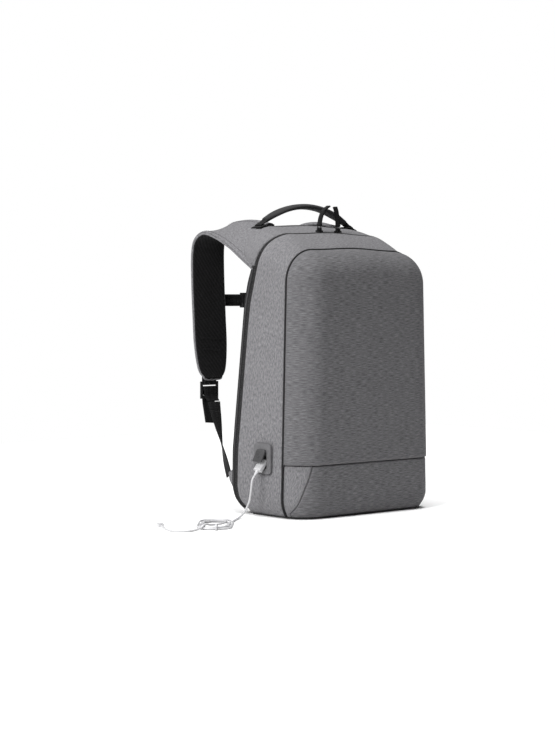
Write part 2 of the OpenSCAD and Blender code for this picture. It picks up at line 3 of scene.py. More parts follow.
import bmesh
import bpy
import numpy as np
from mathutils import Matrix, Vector, noise


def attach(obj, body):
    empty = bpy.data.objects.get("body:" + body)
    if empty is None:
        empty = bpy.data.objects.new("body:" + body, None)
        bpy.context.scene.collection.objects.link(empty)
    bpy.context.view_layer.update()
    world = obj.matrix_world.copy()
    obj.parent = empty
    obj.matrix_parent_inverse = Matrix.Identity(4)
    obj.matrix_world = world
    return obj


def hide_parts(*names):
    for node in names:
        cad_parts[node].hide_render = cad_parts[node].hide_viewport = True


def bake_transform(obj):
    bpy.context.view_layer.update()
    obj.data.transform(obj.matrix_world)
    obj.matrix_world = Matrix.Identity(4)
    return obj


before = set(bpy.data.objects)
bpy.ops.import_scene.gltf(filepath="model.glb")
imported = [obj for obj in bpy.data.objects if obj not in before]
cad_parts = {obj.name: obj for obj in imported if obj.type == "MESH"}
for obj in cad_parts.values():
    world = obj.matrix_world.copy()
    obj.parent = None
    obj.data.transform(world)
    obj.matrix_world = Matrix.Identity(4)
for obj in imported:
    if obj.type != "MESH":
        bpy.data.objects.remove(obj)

MM = 0.001
scene = bpy.context.scene
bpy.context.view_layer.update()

# Driving sizes: the CAD source's, but for FOOT_Z, because the cloth reaches further down than its solids.
BASE_W = 282
TAPER = 0.025
CURL_H = 30
FOOT_Z = 3.5
FRONT_TOP = 397
ZIP_TOP = 424
YOKE_TOP = 437
SHOULDER_R = 50
CROWN = 3
WALL_T = 6
SEAM_Y = -43
CROWN_R = 42
FRONT_Y = SEAM_Y - CROWN_R
LOW_SEAM_Z = 80
OVERHANG = 1.5
ZIP_GAP = 6
BOARD_T = 4
CABLE_D = 3
PORT_Z = 84
PORT_Y = -1.5
PORT_X = -BASE_W / 2 + PORT_Z * TAPER
PORT_TILT = math.radians(50)
HANDLE_Y = 69
HANDLE_Z = 444
LEFT, RIGHT = -1, 1
SIDES = ((LEFT, "left"), (RIGHT, "right"))

# Steps of an arch: round the lower edge's curl, up a side, round a shoulder and over half of the top.
CURL_STEPS, SIDE_STEPS, SHOULDER_STEPS, TOP_STEPS = 8, 54, 18, 22
SHOULDER_START = CURL_STEPS + SIDE_STEPS

# Depth against height of the zip, the band's rear edge and the yoke's. The first two start below the CAD's.
ZIP_LINE = [(3.5, 43.5), (7, 45), (10, 48), (13, 53), (22, 62), (40, 68), (95, 68), (280, 50), (320, 45),
            (370, 31), (410, 20), (424, 10), (430, 8)]
BAND_LINE = [(3.5, 46), (7, 49.5), (10, 53.5), (13, 58), (17, 63.5), (22, 69), (40, 77), (95, 78), (280, 60),
             (320, 56), (350, 49), (370, 41)]
YOKE_LINE = [(370, 47), (385, 60), (405, 68), (424, 72), (440, 74)]


# ---- maths ----

def lerp(a, b, t):
    return a + (b - a) * t


def smoothstep(t):
    t = min(max(t, 0.0), 1.0)
    return t * t * (3 - 2 * t)


def line_at(value, table):
    """Height-to-depth line of the bag, with its corners rounded off a little."""
    xs, ys = zip(*table)
    around = [np.interp(value + d, xs, ys) for d in (-5, -2.5, 0, 2.5, 5)]
    return float(np.dot(around, (0.1, 0.2, 0.4, 0.2, 0.1)))


def fade(distance, reach):
    """1 at a line, falling away smoothly on both sides of it."""
    return math.exp(-(distance / reach) ** 2)


def squared(v, power):
    """Sign-keeping power, which squares off a round section."""
    return np.sign(v) * abs(v) ** power


def unit(v):
    v = np.asarray(v, float)
    return v / max(np.linalg.norm(v), 1e-9)


def curl(z):
    return max(0.0, CURL_H - z) ** 2 / CURL_H / 2.7


def half_w(z):
    return BASE_W / 2 - z * TAPER - curl(z)


def board_y(z):
    return 66 - (z - 36) * 28 / 394


def wobble(p, scale, seed=0.0):
    """Smooth, repeatable noise from -1 to 1 at a point in millimetres."""
    return noise.noise(Vector((p[0] / scale + seed, p[1] / scale + 2 * seed, p[2] / scale - seed)))


def smooth_route(points, steps):
    """Catmull-Rom curve through the points, as in the CAD source."""
    p = np.asarray(points, float)
    n = len(p) - 1
    made = []
    for i in range(n):
        a, b, c, d = p[max(i - 1, 0)], p[i], p[i + 1], p[min(i + 2, n)]
        for k in range(steps):
            t = k / steps
            made.append(0.5 * (2 * b + (c - a) * t + (2 * a - 5 * b + 4 * c - d) * t * t
                               + (3 * b - a - 3 * c + d) * t ** 3))
    return np.array(made + [p[-1]])


def lengths_along(points):
    steps = np.linalg.norm(np.diff(points, axis=0), axis=1)
    return np.concatenate([[0.0], np.cumsum(steps)])


def even_points(points, count):
    """The same route as count points at even steps of its length."""
    points = np.asarray(points, float)
    s = lengths_along(points)
    at = np.linspace(0, s[-1], count)
    return np.stack([np.interp(at, s, points[:, k]) for k in range(3)], axis=1)


def tangents(points):
    t = np.gradient(points, axis=0)
    return t / np.maximum(np.linalg.norm(t, axis=1, keepdims=True), 1e-9)


def arch(top, inset=0.0, r=SHOULDER_R, foot=FOOT_Z):
    """Outline of the bag's front view as rows of x, z, normal x, normal z: left foot, over, right foot."""
    low = [foot + (CURL_H - foot) * k / CURL_STEPS for k in range(CURL_STEPS)] if foot < CURL_H else []
    start = max(foot, CURL_H)
    zs = low + [lerp(start, top - r, k / SIDE_STEPS) for k in range(SIDE_STEPS)]
    half = [(inset - half_w(z), z, -1.0, 0.0) for z in zs]
    w = half_w(top - r) - inset
    for k in range(SHOULDER_STEPS + 1):
        a = math.pi - math.pi / 2 * k / SHOULDER_STEPS
        half.append((r - w + r * math.cos(a), top - r + r * math.sin(a), math.cos(a), math.sin(a)))
    for k in range(1, TOP_STEPS + 1):
        t = k / TOP_STEPS
        half.append(((r - w) * (1 - t), top + CROWN * smoothstep(t), 0.0, 1.0))
    mirrored = [(-x, z, -nx, nz) for x, z, nx, nz in half[-2::-1]]
    return np.array(half + mirrored)


def arch_points(edge, y, depth=0.0):
    """3-D points of an arch: y is one depth or one for each point, and depth moves them inwards."""
    y = np.broadcast_to(y, len(edge))
    return np.stack([edge[:, 0] - depth * edge[:, 2], y, edge[:, 1] - depth * edge[:, 3]], axis=1)


# ---- mesh building ----

def new_object(name, data):
    made = bpy.data.objects.new(name, data)
    scene.collection.objects.link(made)
    return made


def make_object(name, points, faces, weave):
    mesh = bpy.data.meshes.new(name)
    mesh.from_pydata((np.asarray(points, float) * MM).tolist(), [], faces)
    mesh.validate()
    attribute = mesh.attributes.new("weave", "FLOAT_VECTOR", "POINT")
    flat = np.zeros((len(points), 3), np.float32)
    flat[:, :2] = np.asarray(weave) * MM
    attribute.data.foreach_set("vector", flat.ravel())
    mesh.polygons.foreach_set("use_smooth", [True] * len(mesh.polygons))
    for kind in ("side_fabric", "lining"):
        mesh.materials.append(MATERIALS[kind])
    return new_object(name, mesh)


def read_points(mesh):
    """The mesh's points in metres, as rows."""
    points = np.empty(len(mesh.vertices) * 3)
    mesh.vertices.foreach_get("co", points)
    return points.reshape(-1, 3)


def grid_faces(n, m, close_cols=False, close_rows=False, start=0):
    faces = []
    for i in range(n if close_rows else n - 1):
        for j in range(m if close_cols else m - 1):
            a, b = start + i * m + j, start + i * m + (j + 1) % m
            c, d = start + (i + 1) % n * m + (j + 1) % m, start + (i + 1) % n * m + j
            faces.append((a, b, c, d))
    return faces


def grid_weave(rows):
    """Cloth coordinates in millimetres: along the rows' order, and across each row."""
    n, m = rows.shape[:2]
    along = lengths_along(rows[:, m // 2])
    across = lengths_along(rows[n // 2])
    return np.stack(np.meshgrid(along, across, indexing="ij"), axis=2).reshape(-1, 2)


def grid_object(name, rows, close_cols=False, close_rows=False):
    rows = np.asarray(rows, float)
    n, m = rows.shape[:2]
    faces = grid_faces(n, m, close_cols, close_rows)
    return make_object(name, rows.reshape(-1, 3), faces, grid_weave(rows))


def loft(name, rings):
    """Closed solid through closed rings of equal size, with fan-free end caps."""
    rings = np.asarray(rings, float)
    n, m = rings.shape[:2]
    faces = grid_faces(n, m, close_cols=True)
    faces.append(tuple(range(m - 1, -1, -1)))
    faces.append(tuple((n - 1) * m + j for j in range(m)))
    return make_object(name, rings.reshape(-1, 3), faces, grid_weave(rings))


def apply_modifiers(obj):
    depsgraph = bpy.context.evaluated_depsgraph_get()
    shown = obj.evaluated_get(depsgraph)
    mesh = bpy.data.meshes.new_from_object(shown, preserve_all_data_layers=True, depsgraph=depsgraph)
    old = obj.data
    obj.modifiers.clear()
    obj.data = mesh
    bpy.data.meshes.remove(old)
    return obj


def edit_faces(obj, edit):
    bm = bmesh.new()
    bm.from_mesh(obj.data)
    edit(bm)
    bm.to_mesh(obj.data)
    bm.free()
    return obj


def outward(obj):
    """Turns every face of a closed mesh to look outwards."""
    return edit_faces(obj, lambda bm: bmesh.ops.recalc_face_normals(bm, faces=bm.faces))


def thicken(obj, thickness, inside=(0, 0, 200)):
    """Gives a surface its thickness towards the inside point, and turns its faces away from that point."""
    point = Vector(inside) * MM
    if sum(face.area * face.normal.dot(face.center - point) for face in obj.data.polygons) < 0:
        obj.data.flip_normals()
    solid = obj.modifiers.new("thickness", "SOLIDIFY")
    solid.thickness = thickness * MM
    solid.offset = -1
    solid.use_even_offset = False
    solid.material_offset = 1
    solid.material_offset_rim = 0
    return apply_modifiers(obj)


def subdivide(obj, levels=1):
    sub = obj.modifiers.new("smooth", "SUBSURF")
    sub.levels = levels
    sub.render_levels = levels
    return apply_modifiers(obj)


def tube(name, route, diameter, sides=10):
    """Round tube with dome ends along a route."""
    route = np.asarray(route, float)
    t = tangents(route)
    side = unit(np.cross(t[0], (0.3, 0.2, 1.0)))
    angles = np.linspace(0, 2 * math.pi, sides, endpoint=False)
    rings = []
    for p, along in zip(route, t):
        side = unit(side - along * np.dot(side, along))
        up = np.cross(along, side)
        rings.append([p + diameter / 2 * (side * math.cos(a) + up * math.sin(a)) for a in angles])
    first, last = (route[end] + (np.array(rings[end]) - route[end]) * 0.55 + t[end] * diameter * dome
                   for end, dome in ((0, -0.3), (-1, 0.3)))
    return outward(loft(name, [first] + rings + [last]))


def strip_ring(a, b, along, thickness, shift, across, crown):
    """Closed section of a strap from edge a to edge b: rounded edges and an optional padding."""
    width = np.linalg.norm(b - a)
    w = unit(b - a)
    normal = unit(np.cross(w, along))
    edge = min(thickness / 2, width / 4)
    top, low = [], []
    for k in range(across + 1):
        x = -math.cos(math.pi * k / across) * width / 2
        reach = max(0.0, abs(x) - (width / 2 - edge)) / edge
        h = thickness / 2 * math.sqrt(max(0.0, 1 - reach * reach))
        padding = crown * (1 - (2 * x / width) ** 2)
        middle = (a + b) / 2 + w * x + normal * shift
        top.append(middle + normal * (h + padding))
        if 0 < k < across:
            low.append(middle - normal * h)
    return np.array(top + low[::-1])


def strip(name, edge_a, edge_b, thickness, shift=0.0, across=10, crown=0.0):
    """Strip or webbing between two edges."""
    edge_a, edge_b = np.asarray(edge_a, float), np.asarray(edge_b, float)
    t = tangents((edge_a + edge_b) / 2)
    rings = [strip_ring(a, b, u, thickness, shift, across, crown) for a, b, u in zip(edge_a, edge_b, t)]
    return outward(loft(name, rings))


def small_shapes(name, places, size, dome=0.6):
    """Many little domed blocks in one mesh, such as zip teeth or stitches; each place is centre and axes."""
    sx, sy, sz = (s / 2 for s in size)
    corners = [(-1, -1, -1, 1), (1, -1, -1, 1), (1, 1, -1, 1), (-1, 1, -1, 1),
               (-1, -1, 1, dome), (1, -1, 1, dome), (1, 1, 1, dome), (-1, 1, 1, dome)]
    block = [(3, 2, 1, 0), (4, 5, 6, 7), (0, 1, 5, 4), (1, 2, 6, 5), (2, 3, 7, 6), (3, 0, 4, 7)]
    points, faces = [], []
    for centre, along, normal in places:
        across = np.cross(normal, along)
        start = len(points)
        for x, y, z, k in corners:
            points.append(centre + along * x * sx * k + across * y * sy * k + normal * z * sz)
        faces += [tuple(start + i for i in face) for face in block]
    made = outward(make_object(name, points, faces, np.array(points)[:, :2]))
    bevel = made.modifiers.new("round", "BEVEL")
    bevel.width = min(size) * 0.2 * MM
    bevel.segments = 1
    return apply_modifiers(made)


def stitch_places(path, normals, pitch):
    """Centres and axes at even steps along a path; one normal can serve all of its points."""
    path = np.asarray(path, float)
    normals = np.broadcast_to(np.asarray(normals, float), path.shape)
    s = lengths_along(path)
    at = np.arange(pitch / 2, s[-1], pitch)
    points = np.stack([np.interp(at, s, path[:, k]) for k in range(3)], axis=1)
    ups = np.stack([np.interp(at, s, normals[:, k]) for k in range(3)], axis=1)
    t = tangents(points) if len(points) > 1 else np.array([unit(path[-1] - path[0])])
    return [(p, u, unit(n - u * np.dot(n, u))) for p, u, n in zip(points, t, ups)]


# ---- materials ----

class Recipe:
    """A material in the making, with one short call for each kind of node."""

    def __init__(self, name, roughness, sheen=0.0, metallic=0.0, specular=0.12):
        self.material = bpy.data.materials.new(name)
        self.material.use_nodes = True
        self.nodes = self.material.node_tree.nodes
        self.inputs = self.nodes["Principled BSDF"].inputs
        for socket, value in (("Roughness", roughness), ("Sheen Weight", sheen), ("Sheen Roughness", 0.5),
                              ("Metallic", metallic), ("Specular IOR Level", specular)):
            self.inputs[socket].default_value = value

    def plug(self, socket, value):
        """Sets a socket to a constant, or links another node's output to it."""
        if isinstance(value, bpy.types.NodeSocket):
            self.material.node_tree.links.new(value, socket)
        else:
            socket.default_value = value

    def node(self, kind, output, inputs, **settings):
        """Adds a node with its settings and its inputs by name or number, and gives its output."""
        made = self.nodes.new("ShaderNode" + kind)
        for setting, value in settings.items():
            setattr(made, setting, value)
        for socket, value in inputs.items():
            self.plug(made.inputs[socket], value)
        return made.outputs[output]

    def coordinates(self, use_weave, scale=(1.0, 1.0, 1.0)):
        """Texture coordinates in metres times scale: the cloth's own where it has them, or the object's."""
        if use_weave:
            source = self.node("Attribute", "Vector", {}, attribute_name="weave")
        else:
            source = self.node("TexCoord", "Object", {})
        return self.node("Mapping", "Vector", {"Vector": source, "Scale": scale})

    def noise(self, vector, scale, detail=3.0, rough=0.6):
        inputs = {"Vector": vector, "Scale": scale, "Detail": detail, "Roughness": rough}
        return self.node("TexNoise", "Fac", inputs)

    def wave(self, vector, scale, direction, distortion):
        inputs = {"Vector": vector, "Scale": scale, "Distortion": distortion}
        return self.node("TexWave", "Fac", inputs, wave_type="BANDS", bands_direction=direction)

    def math(self, operation, a, b):
        return self.node("Math", "Value", {0: a, 1: b}, operation=operation)

    def weighted(self, a, share_a, b, share_b):
        return self.math("ADD", self.math("MULTIPLY", a, share_a), self.math("MULTIPLY", b, share_b))

    def ramp(self, value, stops):
        """Colours of the stops, which are pairs of a place and a colour or a single level."""
        made = self.nodes.new("ShaderNodeValToRGB")
        elements = made.color_ramp.elements
        while len(elements) < len(stops):
            elements.new(0.5)
        for element, (place, colour) in zip(elements, stops):
            element.position = place
            element.color = (*colour, 1.0) if isinstance(colour, tuple) else (colour, colour, colour, 1.0)
        self.plug(made.inputs["Fac"], value)
        return made.outputs["Color"]

    def shaded(self, value, stops, wear, shades):
        """Gives the material the stops' colours, darkened in large patches."""
        layers = {"Factor": 1.0, "A": self.ramp(value, stops), "B": self.ramp(wear, shades)}
        self.plug(self.inputs["Base Color"],
                  self.node("Mix", "Result", layers, data_type="RGBA", blend_type="MULTIPLY"))

    def relief(self, height, strength, distance):
        inputs = {"Height": height, "Strength": strength, "Distance": distance * MM}
        self.plug(self.inputs["Normal"], self.node("Bump", "Normal", inputs))

    def roughness(self, value, spread, low):
        self.plug(self.inputs["Roughness"], self.math("ADD", self.math("MULTIPLY", value, spread), low))
        return self.material


def grey(level, tint=1.03):
    """Slightly cool grey."""
    return (level, level * 0.985, level * tint)


def melange(name, low, middle, high, long_fibres=False):
    """Heathered polyester: light and dark fibres along the weft over a fine plain weave."""
    m = Recipe(name, 0.9, sheen=0.06)
    fibres = m.coordinates(True, (1.0, 0.10, 0.5) if long_fibres else (0.22, 0.8, 0.5))
    plain = m.coordinates(True)
    specks = m.noise(plain, 1800, 2.0)
    mixed = m.weighted(m.noise(fibres, 900), 0.7, specks, 0.3)
    m.shaded(mixed, [(0.36, low), (0.5, middle), (0.64, high)],
             m.noise(plain, 24, 3.0, 0.5), [(0.3, 0.93), (0.7, 1.0)])
    threads = m.math("MULTIPLY", m.wave(plain, 330, "X", 0.6), m.wave(plain, 330, "Y", 0.6))
    m.relief(m.math("ADD", threads, mixed), 0.5, 0.35)
    return m.roughness(specks, 0.18, 0.78)


def woven(name, low, high, pitch=1.2, use_weave=True, sheen=0.1, rib=False, strength=0.6):
    """Plain or ribbed technical weave, such as webbing, lining and piping cloth."""
    m = Recipe(name, 0.75, sheen=sheen)
    plain = m.coordinates(use_weave)
    scale = 1000 / pitch / 2 / math.pi
    cells = m.math("MULTIPLY", m.wave(plain, scale, "X", 0.3),
                   m.wave(plain, scale * (0.35 if rib else 1.0), "Y", 0.3))
    wear = m.noise(plain, 30, 4.0)
    mixed = m.weighted(cells, 0.5, m.noise(plain, 420), 0.5)
    m.shaded(mixed, [(0.2, low), (0.75, high)], wear, [(0.35, 0.85), (0.7, 1.0)])
    m.relief(cells, strength, 0.4)
    return m.roughness(wear, 0.25, 0.62)


def air_mesh(name, low, high, use_weave):
    """Spacer mesh: rows of small open cells over a dark ground."""
    m = Recipe(name, 0.85, sheen=0.02)
    plain = m.coordinates(use_weave)
    cells = m.node("TexVoronoi", "Distance", {"Vector": plain, "Scale": 420, "Randomness": 0.25})
    wear = m.noise(plain, 90, 4.0)
    height = m.weighted(cells, 0.8, m.wave(plain, 75, "DIAGONAL", 0.5), 0.4)
    m.shaded(height, [(0.1, low), (0.85, high)], wear, [(0.3, 0.75), (0.7, 1.0)])
    m.relief(height, 0.9, 0.6)
    return m.roughness(wear, 0.2, 0.7)


def moulded(name, low, high, roughness, grain=1.0, metallic=0.0):
    """Plastic, rubber or metal with a fine moulded grain and light scuffs."""
    m = Recipe(name, roughness, metallic=metallic, specular=0.4)
    plain = m.coordinates(False)
    scuffs = m.noise(plain, 160, 5.0, 0.7)
    m.plug(m.inputs["Base Color"], m.ramp(scuffs, [(0.35, low), (0.7, high)]))
    m.relief(m.noise(plain, 2200, 2.0), 0.25 * grain, 0.1)
    return m.roughness(scuffs, 0.2, roughness - 0.1)


MATERIALS = {
    "side_fabric": melange("side_melange", grey(0.09), grey(0.155), grey(0.225)),
    # The front cloth is the side melange with longer fibres, made darker as painted shade: the same fabric,
    # darkened for the faces turned away from the key light.
    "front_fabric": melange("front_melange_painted_shade", grey(0.062), grey(0.112), grey(0.17), long_fibres=True),
    "dark_fabric": woven("dark_cloth", grey(0.016), grey(0.042), 1.1),
    "band_fabric": woven("band_cloth", grey(0.03), grey(0.065), 1.0),
    "mesh": air_mesh("spacer_mesh", grey(0.003), grey(0.018), True),
    "pad_mesh": air_mesh("pad_mesh", grey(0.004), grey(0.024), False),
    "webbing": woven("ribbed_webbing", grey(0.006), grey(0.020), 1.6, sheen=0.03, rib=True, strength=0.9),
    "lining": woven("grey_lining", grey(0.20), grey(0.34), 0.8),
    "piping": woven("piping_cloth", grey(0.010), grey(0.035), 0.8, sheen=0.03),
    "thread": woven("sewing_thread", grey(0.05), grey(0.14), 0.5, use_weave=False),
    "stiffener": moulded("foam_board", grey(0.03), grey(0.06), 0.85, 2.0),
    "port_rubber": moulded("soft_touch_rubber", grey(0.085), grey(0.12), 0.65),
    "flap_rubber": moulded("flap_rubber", grey(0.035), grey(0.055), 0.6),
    "black_plastic": moulded("black_acetal", grey(0.008), grey(0.02), 0.38),
    "metal": moulded("satin_steel", grey(0.45), grey(0.6), 0.35, metallic=1.0),
    "zip_metal": moulded("lacquered_zinc", grey(0.02), grey(0.05), 0.35, metallic=0.7),
    "cable_white": moulded("white_sheathing", (0.44, 0.44, 0.45), (0.50, 0.50, 0.51), 0.38, 0.5),
}


def dress(obj, kind, body, *replaced, inside=None):
    """Gives a new piece its materials, its body and the CAD nodes it stands for."""
    obj.data.materials.clear()
    for each in (kind, inside or kind):
        obj.data.materials.append(MATERIALS[each])
    if isinstance(body, str):
        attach(obj, body)
    if replaced:
        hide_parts(*replaced)
    return obj


# ---- shared pieces ----

def webbing_strip(name, edge_a, edge_b, thickness, body, *replaced):
    """A strip of webbing between two edges."""
    return dress(strip(name, edge_a, edge_b, thickness, across=8), "webbing", body, *replaced)


def sew(name, path, normals, pitch, size, body, kind="thread"):
    """A row of stitches, or of other small blocks, along a path."""
    return dress(small_shapes(name, stitch_places(path, normals, pitch), size), kind, body)


def sheet_rows(heights, across, place):
    """Grid of points: a row for each height, and one point of it at each step across."""
    return [[place(v, z) for v in across] for z in heights]


# ---- camera, floor and light ----

def aim(obj, place, direction):
    """Puts a camera or a lamp at a place and points it in a direction."""
    obj.location = place
    obj.rotation_mode = "QUATERNION"
    obj.rotation_quaternion = Vector(direction).to_track_quat("-Z", "Y")


def make_camera():
    """Level camera at the front left, 2.8 m from the bag's axis, above the middle of its height."""
    data = bpy.data.cameras.new("camera")
    data.sensor_width = 36.0
    data.lens = 87.8
    data.shift_x = -0.0581
    data.shift_y = -0.0986
    scene.camera = new_object("camera", data)
    azimuth, distance, height, axis_y = math.radians(-41), 2.8, 0.327, 0.032
    back = Vector((math.sin(azimuth), -math.cos(azimuth), 0))
    aim(scene.camera, Vector((0, axis_y, height)) + back * distance, -back)


def make_lights():
    """One large soft light from the left, and a wide sun straight overhead."""
    data = bpy.data.lights.new("key", "AREA")
    data.shape = "RECTANGLE"
    data.size, data.size_y = 1.1, 1.1
    data.energy = 50
    place, target = Vector((-1.85, -0.3, 1.3)), Vector((0, 0, 0.24))
    aim(new_object("key", data), place, target - place)
    data = bpy.data.lights.new("overhead", "SUN")
    data.energy = 3.5
    data.angle = math.radians(36)
    new_object("overhead", data)


def make_world():
    """White where the camera sees it, and only a weak fill light on the bag."""
    world = bpy.data.worlds.new("studio")
    scene.world = world
    world.use_nodes = True
    nodes, links = world.node_tree.nodes, world.node_tree.links
    seen = nodes["Background"]
    seen.inputs["Color"].default_value = (1, 1, 1, 1)
    fill = nodes.new("ShaderNodeBackground")
    fill.inputs["Color"].default_value = (1, 1, 1, 1)
    fill.inputs["Strength"].default_value = 0.1
    rays = nodes.new("ShaderNodeLightPath")
    mix = nodes.new("ShaderNodeMixShader")
    for output, socket in zip((rays.outputs["Is Camera Ray"], fill.outputs[0], seen.outputs[0]), mix.inputs):
        links.new(output, socket)
    links.new(mix.outputs[0], nodes["World Output"].inputs["Surface"])
    scene.view_settings.view_transform = "Standard"


def make_floor():
    size = 1.4
    mesh = bpy.data.meshes.new("floor")
    corners = [(-size, -size, 0), (size, -size, 0), (size, size, 0), (-size, size, 0)]
    mesh.from_pydata(corners, [], [(0, 1, 2, 3)])
    floor = new_object("floor", mesh)
    paint = Recipe("pale_floor", 0.9)
    paint.inputs["Base Color"].default_value = (0.93, 0.93, 0.93, 1)
    mesh.materials.append(paint.material)


# ---- charging cable ----

COIL_CENTRE = (-261, -38)
COIL_ANGLE = math.radians(49)
COIL_RUN = 46
FLOOR_Z = 1.6
LEAD_ROUTE = [(-162.5, -1.5, 57), (-163.5, -0.5, 47), (-163, 2, 36), (-163.5, 5, 24), (-167, 8, 13),
              (-174, 8, 5.5), (-184, 3, 2.2), (-195, -5, 1.6), (-206, -14, 1.6), (-217, -24, 1.6)]
CROSSING = [(18, -15.4, 4.4), (4, -14.0, 4.4), (-10, -9.5, 4.5), (-21, -2.5, 4.8), (-30, 4.0, 5.6),
            (-37, 9.5, 7.2), (-42, 13.4, 6.2)]
TAIL_ROUTE = [(-304, -62, 3.2), (-318, -66, 1.8), (-332, -66, 1.6), (-342, -58, 1.6), (-345, -46, 1.6),
              (-342, -33, 1.6), (-336, -20, 1.6), (-330, -8, 1.6), (-325, 3, 1.6)]


def coil_place(along, across, z):
    """A point of the coil's own frame, along its long side and across it, in the bag's frame."""
    c, s = math.cos(COIL_ANGLE), math.sin(COIL_ANGLE)
    return (COIL_CENTRE[0] + along * c - across * s, COIL_CENTRE[1] + along * s + across * c, z)


def coil_turns():
    """Three loose turns inside each other, wound from the outside in; the middle one rides up a little."""
    outer_r, pitch, turns, rise = 25.2, 3.3, 3, 2.8
    made = []
    steps = 28
    for k in range(turns * steps):
        share = k / steps
        r = outer_r - pitch * share
        z = FLOOR_Z + rise * math.sin(math.pi * share / 2) ** 2
        half_turn = math.pi * r
        s = share % 1 * (2 * COIL_RUN + 2 * half_turn)
        if s < COIL_RUN:
            place = (COIL_RUN / 2 - s, -r)
        elif s < COIL_RUN + half_turn:
            a = (s - COIL_RUN) / r
            place = (-COIL_RUN / 2 - r * math.sin(a), -r * math.cos(a))
        elif s < 2 * COIL_RUN + half_turn:
            place = (-COIL_RUN / 2 + s - COIL_RUN - half_turn, r)
        else:
            a = (s - 2 * COIL_RUN - half_turn) / r
            place = (COIL_RUN / 2 + r * math.sin(a), r * math.cos(a))
        made.append(coil_place(*place, z))
    return made


def port_point(s):
    return (PORT_X - 1.5 - s * math.cos(PORT_TILT), PORT_Y, PORT_Z - s * math.sin(PORT_TILT))


def make_cable():
    """The whole charging cable as one curve: lead, three turns, the crossing over them and the tail."""
    exit_point = port_point(27)
    crossing = [coil_place(*p) for p in CROSSING]
    route = [exit_point] + LEAD_ROUTE + coil_turns() + crossing + TAIL_ROUTE
    points = smooth_route(route, 5)
    data = bpy.data.curves.new("charging_cable", "CURVE")
    data.dimensions = "3D"
    data.bevel_depth = CABLE_D / 2 * MM
    data.bevel_resolution = 4
    data.use_fill_caps = True
    spline = data.splines.new("POLY")
    spline.points.add(len(points) - 1)
    for point, place in zip(spline.points, points):
        point.co = (*(place * MM), 1.0)
    cable = new_object("charging_cable", data)
    data.materials.append(MATERIALS["cable_white"])
    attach(cable, "shell")
    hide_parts("cable_lead", "cable_coil", "cable_tail")
    length = lengths_along(points)[-1] * MM
    make_tie()


def make_tie():
    """Soft white band round the three turns at the coil's near end."""
    steps, reach, lift, power = 28, 8.4, 4.3, 0.6
    ring = []
    for k in range(steps):
        a = 2 * math.pi * k / steps
        along = -COIL_RUN / 2 - 20.7 - reach * squared(math.cos(a), power)
        ring.append(coil_place(along, -5, 4.6 + lift * squared(math.sin(a), power)))
    width = np.array(coil_place(0, 1.6, 0)) - np.array(coil_place(0, 0, 0))
    ring = np.array(ring)
    centre = ring.mean(axis=0)
    inner = centre + (ring - centre) * 0.9
    loops = [inner - width, ring - width * 0.8, ring + width * 0.8, inner + width]
    rows = np.stack(loops, axis=1)
    band = outward(grid_object("cable_band", rows, True, True))
    return dress(band, "cable_white", "shell", "cable_tie")


# ---- shell: sides, front and base ----

def edge_steps(count, sharpness=1.6):
    """Shares from 0 to 1 that lie closer together towards both ends."""
    t = np.linspace(-1, 1, count)
    return (np.sign(t) * (1 - (1 - np.abs(t)) ** sharpness) + 1) / 2


def rolled(share, length, depth=1.5, radius=3.2):
    """How far cloth turns in towards a seam at both of its edges."""
    near = min(share, 1 - share) * length
    return depth * fade(near, radius)


def make_side_gusset():
    """Side cloth from the front seam over the shoulders to the zip, open where the port sits."""
    front, rear = arch(FRONT_TOP), arch(ZIP_TOP)
    shares = edge_steps(30)
    rows = []
    for f, b in zip(front, rear):
        y_rear = line_at(b[1], ZIP_LINE) - ZIP_GAP / 2
        normal = np.array([b[2], 0, b[3]])
        row = []
        for v in shares:
            p = np.array([lerp(f[0], b[0], v), lerp(SEAM_Y + 0.5, y_rear, v), lerp(f[1], b[1], v)])
            swell = 4 * v * (1 - v) * 1.3 + 0.5 * wobble(p, 48) * min(1, 6 * v * (1 - v))
            row.append(p + normal * (swell - rolled(v, y_rear - SEAM_Y)))
        rows.append(row)
    gusset = grid_object("side_gusset_cloth", rows)
    cut_window(gusset, lambda c: c[0] < -120 and abs(c[1] - PORT_Y) < 14 and abs(c[2] - PORT_Z - 1) < 17)
    thicken(gusset, WALL_T - 1)
    dress(gusset, "side_fabric", "shell", "side_gusset", inside="lining")


def cut_window(obj, inside):
    """Deletes the faces whose middle is inside the opening."""
    def delete(bm):
        gone = [f for f in bm.faces if inside(f.calc_center_median() / MM)]
        bmesh.ops.delete(bm, geom=gone, context="FACES")

    edit_faces(obj, delete)


def dome_ring(a):
    """One outline of the moulded front at angle a of its rounded edge."""
    i = CROWN_R * (1 - math.cos(a))
    y = SEAM_Y - CROWN_R * math.sin(a)
    return arch_points(arch(FRONT_TOP - i, i, max(SHOULDER_R - i, 9), LOW_SEAM_Z), y)


def sides_of(count):
    """How many of an arch's points lie below its flat top, on each side."""
    return (count - 2 * TOP_STEPS - 1) // 2


